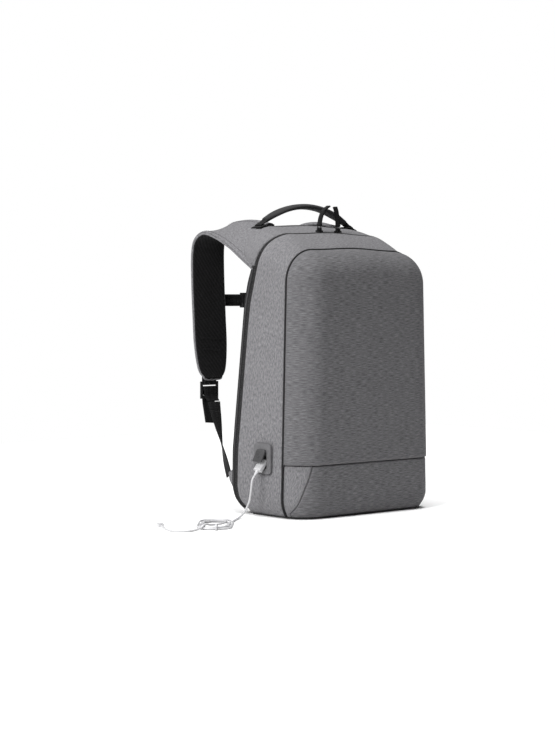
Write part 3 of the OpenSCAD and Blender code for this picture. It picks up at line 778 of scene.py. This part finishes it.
def make_front_panel():
    """Moulded panel: rings round its rounded edge, then a slightly crowned face inside the last ring."""
    rings = [arch_points(arch(FRONT_TOP - inset, inset, SHOULDER_R - inset, LOW_SEAM_Z), SEAM_Y + turned)
             for inset, turned in ((2.6, 1.0), (0.9, 0.2))]
    steps = 16
    rings = np.array(rings + [dome_ring(math.pi / 2 * k / steps) for k in range(steps + 1)])
    n, m = rings.shape[:2]
    points = [tuple(p) for ring in rings for p in ring]
    faces = grid_faces(n, m)
    sides = sides_of(m)
    last = (n - 1) * m
    columns = 2 * TOP_STEPS
    rows = []
    for i in range(sides):
        left, right = rings[-1][i], rings[-1][m - 1 - i]
        row = [last + i]
        for k in range(1, columns):
            row.append(len(points))
            points.append(tuple(lerp(left, right, k / columns)))
        row.append(last + m - 1 - i)
        rows.append(row)
    rows.append([last + sides + k for k in range(columns + 1)])
    for low, high in zip(rows, rows[1:]):
        faces += [(low[k], high[k], high[k + 1], low[k + 1]) for k in range(columns)]
    points = np.array(points)
    weave = []
    for i, (x, y, z) in enumerate(points):
        a = math.asin(min(1, max(0, (SEAM_Y - y) / CROWN_R)))
        around = CROWN_R * (math.pi / 2 - a - math.cos(a))
        beyond = (max(abs(x) - half_w(z) + SHOULDER_R, 0.0), max(z - FRONT_TOP + SHOULDER_R, 0.0))
        away = max(math.hypot(*beyond), 1e-6)
        weave.append((z + around * beyond[1] / away, x + math.copysign(around * beyond[0] / away, x)))
        flat = smoothstep((SEAM_Y - y) / CROWN_R * 2 - 1)
        crowned = 2.2 * (1 - (x / 140) ** 2) * smoothstep((z - LOW_SEAM_Z) / 60) * flat
        points[i][1] -= crowned + 0.45 * wobble((x, y, z), 60, 3.0) * flat
        points[i][1] += fade(z - LOW_SEAM_Z, 2.5) * 1.2 * flat
    panel = make_object("front_panel_cloth", points, faces, weave)
    thicken(panel, 3)
    seam = [(59.5, FRONT_Y - 1.5, z) for z in np.linspace(104, 166, 14)]
    dress(tube("front_pocket_seam", seam, 1.0, 8), "front_fabric", "shell")
    # The panel's darker cloth is painted shade over the same melange as the sides.
    dress(panel, "front_fabric", "shell", "front_panel", inside="lining")


def lower_plan(z):
    """Half ring of the lower front at height z, from the left seam round to the right seam."""
    w = half_w(z) - OVERHANG
    r = CROWN_R - OVERHANG
    inward = curl(z)
    corner_steps, face_points = 22, 64
    left = []
    for k in range(corner_steps):
        a = math.pi / 2 * k / corner_steps
        left.append((-(w - r * (1 - math.cos(a))), SEAM_Y - r * math.sin(a) + inward * math.sin(a)))
    face = [(x, SEAM_Y - r + inward) for x in np.linspace(-(w - r), w - r, face_points)]
    return np.array([(x, y, z) for x, y in left + face + [(-x, y) for x, y in left[::-1]]])


def gusset_seam_x(z):
    """X of the seam between the corner gusset and the lower panel, on the left."""
    slant = float(np.interp(z, (0, 8, 23, 42, 65, 80), (-136, -133, -130, -124, -116, -112)))
    return max(slant, OVERHANG + 1.2 - half_w(z))


def make_lower_front():
    """Lower panel and its two corner gussets, each stopping at the slanting seams."""
    pieces = {"corner_gusset_left": [], "lower_front_panel": [], "corner_gusset_right": []}
    steps = 34
    for z in [FOOT_Z + (LOW_SEAM_Z - 0.5 - FOOT_Z) * k / steps for k in range(steps + 1)]:
        fine = even_points(lower_plan(z), 900)
        seam = gusset_seam_x(z)
        x = fine[:, 0]
        parts = {"corner_gusset_left": fine[x < seam - 0.15],
                 "lower_front_panel": fine[(x > seam + 0.15) & (x < -seam - 0.15)],
                 "corner_gusset_right": fine[x > -seam + 0.15]}
        for name, part in parts.items():
            pieces[name].append(part_row(part, z, 96 if name == "lower_front_panel" else 18))
    for name, rows in pieces.items():
        obj = grid_object(name + "_cloth", np.array(rows)[::-1])
        # The lower panel takes the darker front cloth, whose darkness is painted shade; the corner gussets
        # keep the side cloth.
        kind = "front_fabric" if name == "lower_front_panel" else "side_fabric"
        thicken(obj, 3)
        dress(obj, kind, "shell", name, inside="lining")


def part_row(part, z, count):
    """One row of a lower piece, with its two upright seams and its upper seam turned in."""
    row = even_points(part, count)
    t = tangents(row)
    s = lengths_along(row)
    made = []
    for i, (p, along) in enumerate(zip(row, t)):
        normal = np.array([along[1], -along[0], 0.0])
        edge = min(s[i], s[-1] - s[i])
        turn = 1.1 * fade(edge, 2.0) + 1.6 * fade(LOW_SEAM_Z - z, 2.2)
        made.append(p + normal * (0.35 * wobble(p, 35, 7.0) - turn))
    return made


def base_ring(z, inset):
    """Plan outline of the base as a closed ring with rounded corners."""
    half = half_w(FOOT_Z) - 0.5 - inset
    rear = 43.5 - inset * 0.4
    front = FRONT_Y + OVERHANG + curl(FOOT_Z) + 0.3 + inset
    r_front, r_rear = CROWN_R - OVERHANG - inset * 0.5, 7
    corners = ((half - r_front, front + r_front, r_front, -90), (half - r_rear, rear - r_rear, r_rear, 0),
               (r_rear - half, rear - r_rear, r_rear, 90), (r_front - half, front + r_front, r_front, 180))
    steps = 14
    ring = []
    for cx, cy, r, start in corners:
        for k in range(steps + 1):
            a = math.radians(start + 90 * k / steps)
            ring.append((cx + r * math.cos(a), cy + r * math.sin(a), z))
    return ring


def make_base():
    """Dark bottom cloth with a rounded edge, and the stiff board that lies on it."""
    turned = np.linspace(0, math.pi / 2, 7)
    cloth = [(4.4 - 4.2 * math.sin(a), 5 * (1 - math.cos(a))) for a in turned]
    cloth += [(0.2, 12), (0.2, 24), (2.2, 26)]
    board = [(4.2, 8), (5.4, 6.5), (7.2, 6.5), (8, 8), (8.1, 16)]
    for name, places, kind, node in (("base_cloth", cloth, "dark_fabric", "base_panel"),
                                     ("base_board_cloth", board, "lining", "base_board")):
        dress(outward(loft(name, [base_ring(*place) for place in places])), kind, "shell", node)


def make_front_piping():
    route = arch_points(arch(FRONT_TOP), SEAM_Y - 0.3, -0.5)
    dress(tube("front_seam_piping", route, 3.0), "piping", "shell", "front_piping")


def zip_points(edge, offset, depth):
    """Points along the zip, moved across it by the offset and inwards by the depth."""
    return arch_points(edge, np.array([line_at(z, ZIP_LINE) + offset for z in edge[:, 1]]), depth)


def make_zip_half(name, near, far, tooth_y, body, node):
    """One half of the main zip: cloth tape with a row of coil teeth along its free edge."""
    edge = arch(ZIP_TOP, foot=13)
    lines = [zip_points(edge, *place) for place in ((near, 1.3), (lerp(near, far, 0.5), 1.5), (far, 1.3))]
    tape = grid_object(name, np.stack(lines, axis=1))
    thicken(tape, 0.9)
    dress(tape, "dark_fabric", body, node)
    normals = np.stack([edge[:, 2], np.zeros(len(edge)), edge[:, 3]], axis=1)
    sew(name + "_teeth", zip_points(edge, tooth_y, 1.0), normals, 2.5, (1.5, 2.1, 1.5), body, "black_plastic")


# ---- back unit ----

def arch_rows(edge):
    """Regular grid over the area inside an arch: rows across it from its foot up, then its top edge."""
    m = len(edge)
    sides = sides_of(m)
    columns = 2 * TOP_STEPS
    rows = [[(lerp(edge[i][0], edge[m - 1 - i][0], k / columns), edge[i][1]) for k in range(columns + 1)]
            for i in range(sides)]
    return rows + [[(edge[sides + k][0], edge[sides + k][1]) for k in range(columns + 1)]]


def make_back_board():
    """Foam board behind the laptop: lined inside and faced with mesh outside."""
    rows = [[(x, board_y(z), z) for x, z in row] for row in arch_rows(arch(ZIP_TOP - 1, 9.5, 46, 38))]
    board = grid_object("back_board_cloth", rows)
    thicken(board, BOARD_T - 0.2, (0, 500, 200))
    dress(board, "lining", "back_unit", "back_board", inside="pad_mesh")


def make_rear_base():
    """Turned-up rear corner of the base, from the hinge seam to the back board."""
    profile = even_points(smooth_route([(0, 46.8, 10.6), (0, 57, 13.5), (0, 68.5, 22), (0, 72.3, 36)], 8), 18)
    rows = []
    for p in profile:
        row = []
        for x in np.linspace(-129.5, 129.5, 70):
            end = fade(129.5 - abs(x), 2.5)
            row.append((x, p[1] - 1.2 * end + 0.4 * wobble((x, p[1], p[2]), 40, 2.0), p[2] + 1.2 * end))
        rows.append(row)
    panel = grid_object("rear_base_cloth", rows)
    thicken(panel, 3.6, (0, 0, 120))
    dress(panel, "dark_fabric", "back_unit", "rear_base_panel", inside="lining")


def make_back_band():
    """Raised band behind the zip on each side, with a dark cord along both of its edges."""
    edge = arch(ZIP_TOP, foot=7)
    for side, name in SIDES:
        part = (edge if side == LEFT else edge[::-1])[:SHOULDER_START + 1]
        rows, cord_a, cord_b = [], [], []
        for p in part:
            x, z, nx, nz = p
            y0 = line_at(z, ZIP_LINE) + ZIP_GAP / 2
            y1 = max(line_at(z, BAND_LINE) - 0.8, y0 + 3)
            out = np.array([nx, 0, nz])
            row = []
            for v in np.linspace(0, 1, 11):
                depth = 1.5 + 1.6 * abs(2 * v - 1) ** 3 - 0.9 * math.sin(math.pi * v)
                row.append(np.array([x, lerp(y0 + 0.6, y1 - 0.6, v), z]) - out * depth)
            rows.append(row)
            cord_a.append(np.array([x, y0 + 1.0, z]) - out * 1.5)
            cord_b.append(np.array([x, y1 - 1.0, z]) - out * 1.5)
        band = grid_object("back_band_cloth_" + name, rows)
        thicken(band, 3.0, (0, 40, 200))
        dress(band, "band_fabric", "back_unit", "back_band")
        for label, cord in (("front_", cord_a), ("rear_", cord_b)):
            dress(tube("back_band_cord_" + label + name, cord, 2.4), "piping", "back_unit")


def make_yoke():
    """Yoke over the shoulders: from the zip back over the rear edge, and down as a turned lip."""
    front, rear = arch(ZIP_TOP), arch(YOKE_TOP, 3, SHOULDER_R + 4)
    lip, bend = 15, 3.0
    rows = []
    for i in range(SHOULDER_START, len(front) - SHOULDER_START):
        f, b = front[i], rear[i]
        yf, yb = line_at(f[1], ZIP_LINE) + ZIP_GAP / 2, line_at(b[1], YOKE_LINE)
        nf, nb = np.array([f[2], 0, f[3]]), np.array([b[2], 0, b[3]])
        start, end = np.array([f[0], yf + 0.4, f[1]]), np.array([b[0], yb, b[1]])
        row = [start - nf * 2.6, start - nf * 0.9]
        for v in np.linspace(0.03, 0.93, 16):
            p = lerp(start, end, v)
            n = unit(lerp(nf, nb, v))
            row.append(p + n * (2.0 * math.sin(math.pi * v) + 0.5 * wobble(p, 42, 5.0)))
        for a in (20, 45, 70, 90):
            s, c = math.sin(math.radians(a)), math.cos(math.radians(a))
            row.append(end - np.array([0, bend - bend * s, 0]) - nb * (bend - bend * c))
        for depth in np.linspace(5, lip, 5):
            row.append(end - nb * depth)
        rows.append(row)
    yoke = grid_object("yoke_cloth", rows)
    thicken(yoke, 4.4, (0, 20, 300))
    dress(yoke, "side_fabric", "back_unit", "yoke", inside="lining")


def inflate(obj, pressure, cap, held):
    """Swells a closed mesh as cloth: points that held() picks stay still, and none moves past the cap."""
    mesh = obj.data
    before = read_points(mesh)
    group = obj.vertex_groups.new(name="held")
    group.add([i for i, p in enumerate(before) if held(p / MM)], 1.0, "REPLACE")
    cloth = obj.modifiers.new("cloth", "CLOTH")
    settings = cloth.settings
    settings.quality = 4
    settings.mass = 0.3
    settings.tension_stiffness = 12
    settings.compression_stiffness = 12
    settings.bending_stiffness = 2
    settings.use_pressure = True
    settings.uniform_pressure_force = pressure
    settings.vertex_group_mass = "held"
    settings.effector_weights.gravity = 0
    frames = 20
    cloth.point_cache.frame_start = 1
    cloth.point_cache.frame_end = frames
    for number in range(1, frames + 1):
        scene.frame_set(number)
    after_mesh = bpy.data.meshes.new_from_object(obj.evaluated_get(bpy.context.evaluated_depsgraph_get()))
    move = read_points(after_mesh) - before
    bpy.data.meshes.remove(after_mesh)
    obj.modifiers.remove(cloth)
    size = np.linalg.norm(move, axis=1, keepdims=True)
    move *= np.minimum(1, cap * MM / np.maximum(size, 1e-9))
    mesh.vertices.foreach_set("co", (before + move).ravel())
    mesh.update()
    scene.frame_set(1)


def make_pad(node, channels):
    """Padded mesh panel from its CAD solid: shrunk, swollen as cloth, and pressed in along its channels."""
    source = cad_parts[node]
    mesh = source.data.copy()
    mesh.transform(source.matrix_world)
    pad = new_object(node + "_cloth", mesh)
    box = np.array([v.co / MM for v in mesh.vertices])
    low, high = box.min(axis=0), box.max(axis=0)
    middle = (low + high) / 2
    shrink, flatten = 3.5, 0.62
    for v in mesh.vertices:
        p = np.array(v.co) / MM
        for k in (0, 2):
            p[k] = middle[k] + (p[k] - middle[k]) * (1 - shrink / (high[k] - middle[k]))
        inner = board_y(p[2]) + BOARD_T
        p[1] = inner + 0.3 + (p[1] - inner) * flatten
        v.co = p * MM
    remesh = pad.modifiers.new("remesh", "REMESH")
    remesh.mode = "VOXEL"
    remesh.voxel_size = 0.005
    remesh.use_smooth_shade = True
    apply_modifiers(pad)
    inflate(pad, 4.0, 6.0, lambda p: p[1] < board_y(p[2]) + BOARD_T + 2.5)
    subdivide(pad)
    points = read_points(pad.data) / MM
    for p in points:
        base = board_y(p[2]) + BOARD_T + 0.25
        rise = max(p[1] - base, 0)
        groove = 0.0
        for horizontal, place, low_end, high_end in channels:
            across, along = (p[2], p[0]) if horizontal else (p[0], p[2])
            if low_end < along < high_end:
                groove = max(groove, fade(across - place, 2.4))
        edge = min(p[0] - low[0], high[0] - p[0], p[2] - low[2], high[2] - p[2])
        seam = fade(edge - 6, 1.6) * 0.35
        p[1] = base + min(rise * (1 - 0.55 * groove) * (1 - seam), high[1] - base)
    pad.data.vertices.foreach_set("co", (points * MM).ravel())
    pad.data.polygons.foreach_set("use_smooth", [True] * len(pad.data.polygons))
    dress(pad, "pad_mesh", "back_unit", node)


def make_handle():
    """Padded grip that narrows to its tabs, with a fold line along each long edge and stitched ends."""
    half = 82
    middle = np.array([(half * t, HANDLE_Y, HANDLE_Z + 24 * (1 - t * t)) for t in np.linspace(-1, 1, 61)])
    t = tangents(middle)
    rings = []
    for p, u in zip(middle, t):
        share = abs(p[0]) / half
        width = lerp(14, 24, smoothstep((1 - share) * 3.2))
        height = 4.9 - 0.5 * share
        up = unit(np.cross(u, (0, 1, 0)))
        up = up if up[2] > 0 else -up
        ring = []
        for k in range(24):
            a = 2 * math.pi * k / 24
            c, s = math.cos(a), math.sin(a)
            flat = squared(c, 0.75) * width / 2
            lift = squared(s, 0.8) * height * (1.0 if s > 0 else 0.8)
            crease = 0.5 * fade(abs(c) - 0.82, 0.08)
            ring.append(p + np.array([0, flat, 0]) + up * lift * (1 - crease * 0.35))
        rings.append(ring)
    grip = outward(loft("handle_cloth", rings))
    subdivide(grip)
    dress(grip, "dark_fabric", "handle", "handle_grip")
    for side, name in SIDES:
        route = [(side * 99, 432.9), (side * 91, 435.9), (side * 83.5, 438)]
        a, b = (even_points([(x, HANDLE_Y + edge, z) for x, z in route], 9) for edge in (-11.5, 11.5))
        dress(strip("handle_tab_cloth_" + name, a, b, 2.0), "webbing", "back_unit", "handle_tabs")
        foot = smooth_route([(side * x, HANDLE_Y, z) for x, z in
                             ((95, 436.6), (90, 439.6), (86, 441.4), (82, 444.4), (78, 447))], 5)
        link = strip("handle_link_cloth_" + name, foot - (0, 7.5, 0), foot + (0, 7.5, 0), 2.6, across=10)
        dress(link, "webbing", None)
        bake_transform(link)
        for x, z in ((96.5, 434.9), (87.5, 438.0)):
            path = [(side * x, HANDLE_Y - 9.5, z + 0.1), (side * x, HANDLE_Y + 9.5, z + 0.1)]
            sew("handle_stitch_%s_%d" % (name, x), path, (0, 0, 1), 3.2, (2.3, 0.7, 0.5), "back_unit")


def make_anchor_tabs():
    """Tabs in the lower rear corners of the sides, where the strap webbings are sewn in."""
    for side, name in SIDES:
        a = sided([(-128, 79, 26), (-127.5, 88, 36), (-126, 98, 46)], side)
        b = sided([(-128, 79, 68), (-127.5, 89, 64), (-126, 101, 59)], side)
        edges = (even_points(smooth_route(edge, 6), 15) for edge in (a, b))
        dress(strip("anchor_tab_cloth_" + name, *edges, 2.4), "side_fabric", "back_unit", "anchor_tabs")
        for share in (0.10, 0.90):
            sew("anchor_stitch_%s_%d" % (name, share * 100), lerp(a, b, share) + (side * 1.35, 0, 0),
                (side, 0, 0), 3.2, (2.2, 0.7, 0.5), "back_unit")


# ---- harness ----

# Edges of the straps and of their webbings. The straps start further forward than in the CAD.
STRAP_OUTER = [(-133.2, 36.5, 371.5), (-131.5, 69, 390), (-129, 95, 404), (-128, 128, 419), (-130, 160, 428),
               (-131, 182, 418), (-131, 190, 396), (-131, 190, 350), (-131, 187, 300), (-130, 184, 250),
               (-124, 181, 212), (-112, 179, 198)]
STRAP_INNER = [(-64, 70, 440), (-64, 82, 442), (-64, 105, 446), (-66, 135, 447), (-68, 166, 442.5),
               (-68, 187, 425.5), (-68, 193, 400), (-68, 192, 350), (-68, 189, 300), (-68, 186, 250),
               (-74, 182, 212), (-86, 179, 198)]
STRAP_T = 6.5
MESH_T = 2.5
WEBBING_T = 1.8
WEBBING_A = [(-123.7, 97.8, 56.3), (-121.8, 111.3, 79.2), (-121, 126.3, 101.5), (-118.8, 143, 122.3),
             (-115.6, 159.1, 143.2), (-111.5, 174, 162)]
WEBBING_B = [(-123.7, 109.6, 48.7), (-115.7, 126.7, 68), (-106.6, 141.9, 88.2), (-98.9, 153.3, 111.2),
             (-92.3, 163.3, 135.3), (-86.5, 174, 162)]
TAIL_A = [(-111, 189.5, 172), (-111, 188, 160), (-112, 183, 145), (-113, 178, 130)]
TAIL_B = [(-86, 189.5, 172), (-86, 188, 160), (-87, 183, 144), (-88, 178, 128)]


def sided(points, side):
    """The left-hand points as they are, or mirrored for the right-hand side."""
    points = np.array(points, float)
    points[:, 0] *= -side
    return points


def routed(points, side, count):
    """A smooth route through the points at even steps, on its own side."""
    return even_points(sided(smooth_route(points, 9), side), count)


def strap_normals(a, b, side):
    """Unit normals on the strap's outer face."""
    t = tangents((a + b) / 2)
    return np.array([unit(np.cross(unit(q - p), u)) * -side for p, q, u in zip(a, b, t)])


def make_strap(side, name):
    """Padded shoulder strap: cloth over mesh, bound round its edge and stitched along it."""
    body = "harness_" + name
    outer, inner = routed(STRAP_OUTER, side, 110), routed(STRAP_INNER, side, 110)
    normals = strap_normals(outer, inner, side)
    edges = (outer, inner) if side == LEFT else (inner, outer)
    strap = strip("strap_cloth_" + name, *edges, STRAP_T - 2.0, across=16, crown=1.1)
    for v in strap.data.vertices:
        p = np.array(v.co) / MM
        v.co = (p + np.array([0, 0.35, 0.2]) * wobble(p, 38, 4.0)) * MM
    dress(strap, "side_fabric", None, "strap_" + name)
    behind = 0.4 - (STRAP_T + MESH_T) / 2
    mesh = strip("strap_mesh_cloth_" + name, *edges, MESH_T - 0.6, shift=behind, across=16)
    dress(mesh, "mesh", None, "strap_mesh_" + name)
    turn = 3
    low = (0, 0.1, -0.6)
    corner = smooth_route([outer[-turn], outer[-1] + low, inner[-1] + low, inner[-turn]], 8)
    rim = np.concatenate([outer[:-turn], corner, inner[::-1][turn:]])
    rim_n = np.concatenate([normals[:-turn], [normals[-1]] * len(corner), normals[::-1][turn:]])
    pieces = [strap, mesh, dress(tube("strap_binding_" + name, rim - rim_n * 2.6, 3.4), "side_fabric", None)]
    for share, label in ((0.085, "outer"), (0.915, "inner")):
        path = lerp(outer, inner, share) + normals * (STRAP_T / 2 - 0.55 + 1.1 * 4 * share * (1 - share))
        pieces.append(sew("strap_stitch_%s_%s" % (label, name), path[8:-2], normals[8:-2], 4.2,
                          (2.9, 0.8, 0.6), None))
    for piece in pieces:
        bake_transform(piece)
    rear = 40
    under = STRAP_T / 2 + MESH_T + 0.15
    for k, z in enumerate((243, 262)):
        i = int(np.argmin(np.abs((outer + inner)[rear:, 2] / 2 - z))) + rear
        path = [lerp(outer[i], inner[i], v) - normals[i] * under for v in (0.2, 0.5, 0.8)]
        sew("strap_bartack_%s_%d" % (name, k), path, -normals[i], 3.0, (2.6, 2.4, 0.6), body, "webbing")


def make_webbing(side, name):
    """Lower webbing from its tab to the ladder lock, the part that runs into the lock, and its loose tail."""
    a, b = routed(WEBBING_A, side, 60), routed(WEBBING_B, side, 60)
    cut = 52
    low = webbing_strip("lower_webbing_cloth_" + name, a[:cut + 1], b[:cut + 1], WEBBING_T, None,
                        "lower_webbing_" + name)
    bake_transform(low)
    top = webbing_strip("lock_webbing_cloth_" + name, a[cut:], b[cut:], WEBBING_T, None)
    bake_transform(top)
    tail_a, tail_b = (sided(smooth_route(edge, 8), side) for edge in (TAIL_A, TAIL_B))
    webbing_strip("webbing_tail_cloth_" + name, tail_a, tail_b, WEBBING_T, "lock_" + name,
                  "webbing_tail_" + name)
    end = -4
    hem = np.array([tail_a[end] + (side * -1.5, 0, 0), tail_b[end] + (side * 1.5, 0, 0)])
    up = strap_normals(tail_a, tail_b, side)[end]
    sew("webbing_tail_stitch_" + name, hem + up * 1.0, up, 3.0, (2.2, 0.7, 0.4), "lock_" + name)


def finish_node(name, kind, width):
    """A hard CAD piece keeps its shape and gets softened edges and its material."""
    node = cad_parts[name]
    node.data.materials.clear()
    node.data.materials.append(MATERIALS[kind])
    weld = node.modifiers.new("weld", "WELD")
    weld.merge_threshold = 0.00001
    bevel = node.modifiers.new("soft_edges", "BEVEL")
    bevel.width = width * MM
    bevel.segments = 2
    bevel.limit_method = "ANGLE"
    bevel.angle_limit = math.radians(40)
    bevel.harden_normals = True


# Hard CAD pieces that stay, with their material and the width of their softened edges.
HARD_PARTS = {
    "ladder_lock_left": ("black_plastic", 0.5), "ladder_lock_right": ("black_plastic", 0.5),
    "adjuster_left": ("black_plastic", 0.8), "adjuster_right": ("black_plastic", 0.8),
    "slider_left": ("zip_metal", 0.25), "slider_right": ("zip_metal", 0.25),
    "buckle_male": ("black_plastic", 0.8), "buckle_female": ("black_plastic", 0.8),
    "usb_patch": ("port_rubber", 0.8), "usb_flap": ("flap_rubber", 0.3),
    "usb_housing": ("black_plastic", 0.6), "usb_socket": ("black_plastic", 0.3),
    "usb_plug": ("cable_white", 0.4), "cable_connector": ("cable_white", 0.3),
    "inner_plug": ("black_plastic", 0.4),
}


# ---- pockets, inner lead, pulls and chest strap ----

def dip(distance, reach):
    """0 at a sewn edge, rising to 1 beyond its reach."""
    return 1 - fade(max(distance, 0), reach)


def bound_sheet(name, rows, thickness, inside, body, node):
    """Cloth sheet sewn on three sides, with a binding over its free top edge."""
    sheet = grid_object(name, rows)
    thicken(sheet, thickness, inside)
    dress(sheet, "lining", body, node)
    dress(tube(name + "_binding", rows[-1], 2.4, 8), "piping", body)
    return sheet


def make_divider():
    rows = [[(x, -33 - 0.35 * wobble((x, 0, z), 45, 6.0) * dip(130 - abs(x), 20), z) for x, z in row]
            for row in arch_rows(arch(FRONT_TOP - 20, 8, 40, 16))]
    divider = grid_object("front_divider_cloth", rows)
    thicken(divider, 1.1, (0, 200, 200))
    dress(divider, "lining", "shell", "front_divider")


def make_organiser():
    half = 99.5

    def place(x, z):
        depth = 8.0 * dip(half - abs(x), 5) * (1 - 0.8 * fade(x, 5)) * dip(z - 59, 7)
        return (x, -33.5 - depth + 0.3 * wobble((x, 0, z), 30, 8.0), z)

    rows = sheet_rows(np.linspace(59.5, 210, 60), np.linspace(-half, half, 80), place)
    bound_sheet("organiser_pocket_cloth", rows, 1.0, (0, 200, 140), "shell", "organiser_pocket")


def make_power_pocket():
    def place(y, z):
        depth = 20.4 * dip(17.5 - abs(y + 6), 3) * dip(z - 129, 4)
        return (-128.6 + depth + 0.3 * wobble((0, y, z), 20, 9.0), y, z)

    rows = sheet_rows(np.linspace(129.2, 239.5, 44), np.linspace(-23.5, 11.5, 30), place)
    bound_sheet("power_bank_pocket_cloth", rows, 1.0, (-400, -6, 180), "shell", "power_bank_pocket")


def make_sleeve():
    half = 125.5

    def place(x, z):
        depth = 26 * dip(half - abs(x), 4) * dip(z - 38, 4)
        return (x, board_y(z) - 0.6 - depth + 0.5 * wobble((x, 0, z), 50, 10.0), z)

    rows = sheet_rows(np.linspace(38.5, 290, 80), np.linspace(-half, half, 90), place)
    sleeve = bound_sheet("laptop_sleeve_cloth", rows, 2.0, (0, 400, 160), "back_unit", "laptop_sleeve")


def make_inner_lead():
    route = [(-122, -1.5, 103), (-120.5, 1, 110), (-119, 8, 118), (-117, 15, 128), (-117, 16, 140),
             (-117, 16, 180), (-117, 15.5, 225), (-117, 15, 238), (-117, 11, 247), (-118, 2, 253),
             (-119, -6, 250), (-119, -8, 240.2)]
    dress(tube("inner_lead_cable", smooth_route(route, 8), 3.3, 12), "black_plastic", "shell", "inner_lead")


PULL_Y = 9.5
PULL_Z = ZIP_TOP + CROWN + 4.4
PULL_W = 9


def make_pull(name, x, points):
    """Wire ring through the slider's bridge, and a ribbon folded through it and sewn to itself."""
    body = "zip_pull_" + name
    half_ring = ((0, 0), (2.6, 0.1), (3.4, 1.2), (3.5, 3), (3.4, 5), (2.4, 5.8), (0, 5.9))
    ring = [(x, PULL_Y + y, PULL_Z + z) for y, z in half_ring + tuple((-y, z) for y, z in half_ring[-2::-1])]
    dress(tube("zip_pull_ring_" + name, smooth_route(ring, 4), 1.5), "zip_metal", body)
    middle = smooth_route([(x + dx, PULL_Y, PULL_Z + dz) for dx, dz in points], 8)
    t = tangents(middle)
    normals = np.array([(u[2], 0, -u[0]) for u in t])
    gap, turn_r, seat = 0.65, 1.45, 10
    up = middle + normals * gap
    down = middle - normals * gap
    bar = np.array((x, PULL_Y, PULL_Z + 5.9))
    turn = [bar + (turn_r * math.cos(a), 0, turn_r * math.sin(a)) for a in np.linspace(0, -math.pi, 9)]
    path = np.concatenate([up[:2:-1], turn, down[3:]])
    half = (0, PULL_W / 2, 0)
    webbing_strip("zip_pull_ribbon_" + name, path - half, path + half, 1.15, body, "pull_" + name)
    line = [middle[seat] + normals[seat] * 1.3 + (0, y, 0) for y in (-3.2, 3.2)]
    sew("zip_pull_stitch_" + name, line, normals[seat], 2.0, (1.5, 0.6, 0.4), body)


CHEST_Z = 322


def beside(path, side, outer, inner):
    """The two edges of a webbing whose route is a path in the bag's middle plane."""
    return path + (side * outer, 0, 0), path + (side * inner, 0, 0)


def make_chest_strap():
    """Chest webbings between the adjusters and the buckle, and the rails on the straps that carry them."""
    for side, name in SIDES:
        route = sided(smooth_route([(-60.7, 203, 0), (-50, 200, 0), (-38, 197, 0), (-27.3, 196, 0)], 9), side)
        edges = [route + (0, 0, CHEST_Z + z) for z in (-9.5, 9.5)]
        webbing = webbing_strip("sternum_webbing_cloth_" + name, *edges, WEBBING_T,
                                None if side == LEFT else "chest_right", "sternum_webbing_" + name)
        if side == LEFT:
            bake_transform(webbing)
        path = smooth_route([(0, 192.8, 261), (0, 194.2, 265), (0, 198.8, 270), (0, 199.3, 275),
                             (0, 199.3, 320), (0, 199.3, 370), (0, 198.8, 376), (0, 197.2, 381),
                             (0, 196.6, 387)], 6)
        webbing_strip("sternum_rail_cloth_" + name, *beside(path, side, 80, 72), 1.4, "harness_" + name,
                      "sternum_rail_" + name)
        for k, (y, z) in enumerate(((193.6, 262.5), (197.7, 384.5))):
            sew("sternum_bartack_%s_%d" % (name, k), [(side * 79, y, z), (side * 73, y, z)], (0, 1, 0), 1.5,
                (1.0, 2.6, 0.5), "harness_" + name)


def make_lock_loop(side, name):
    """Webbing loop sewn to the strap's lower end, round the top bar of the ladder lock."""
    bar_y, bar_z, r = 186.2, 191.6, 2.75
    turn = [(0, bar_y - r * math.cos(a), bar_z - r * math.sin(a)) for a in np.linspace(0, math.pi, 11)]
    heights = (196, 201, 206, 211)
    path = np.array([(0, bar_y - r, z) for z in heights[::-1]] + turn + [(0, bar_y + r, z) for z in heights])
    webbing_strip("lock_loop_cloth_" + name, *beside(path, side, 111.3, 86.7), 1.4, "harness_" + name,
                  "lock_loop_" + name)
    wrap = smooth_route([(0, 175.2, 163.6), (0, 179, 167.6), (0, 181.8, 171.5), (0, 182.7, 176),
                         (0, 182.8, 181), (0, 184, 184.8), (0, 186, 186), (0, 188.2, 184.8), (0, 189.3, 181),
                         (0, 189.5, 176), (0, 189.5, 172.3)], 4)
    webbing_strip("lock_wrap_cloth_" + name, *beside(wrap, side, 111.2, 86.8), 1.2, "lock_" + name)


make_camera()
make_lights()
make_world()
make_floor()
make_cable()
make_side_gusset()
make_front_panel()
make_lower_front()
make_base()
make_front_piping()
make_zip_half("zip_tape_front_half", -ZIP_GAP / 2 - 1.0, -0.3, -1.15, "shell", "zip_tape_shell")
make_zip_half("zip_tape_back_half", ZIP_GAP / 2 + 1.0, 0.3, 1.15, "back_unit", "zip_tape_back")
make_back_board()
make_rear_base()
make_back_band()
make_yoke()
for pad_name in ("back_pad_left", "back_pad_right"):
    make_pad(pad_name, [(True, z, -200, 200) for z in (180, 246, 312)])
make_pad("lumbar_pad", [(False, x, 40, 100) for x in (-52, 0, 52)])
make_handle()
make_anchor_tabs()
for strap_side, strap_name in SIDES:
    make_strap(strap_side, strap_name)
    make_webbing(strap_side, strap_name)
    make_lock_loop(strap_side, strap_name)
make_chest_strap()
make_divider()
make_organiser()
make_power_pocket()
make_sleeve()
make_inner_lead()
make_pull("left", -22, [(0, 5.5), (3, 18), (9, 29), (19, 35.5)])
make_pull("right", 16, [(0, 5.5), (-1, 16), (-3, 27), (-6, 35)])
for node_name, (node_kind, edge_width) in HARD_PARTS.items():
    finish_node(node_name, node_kind, edge_width)
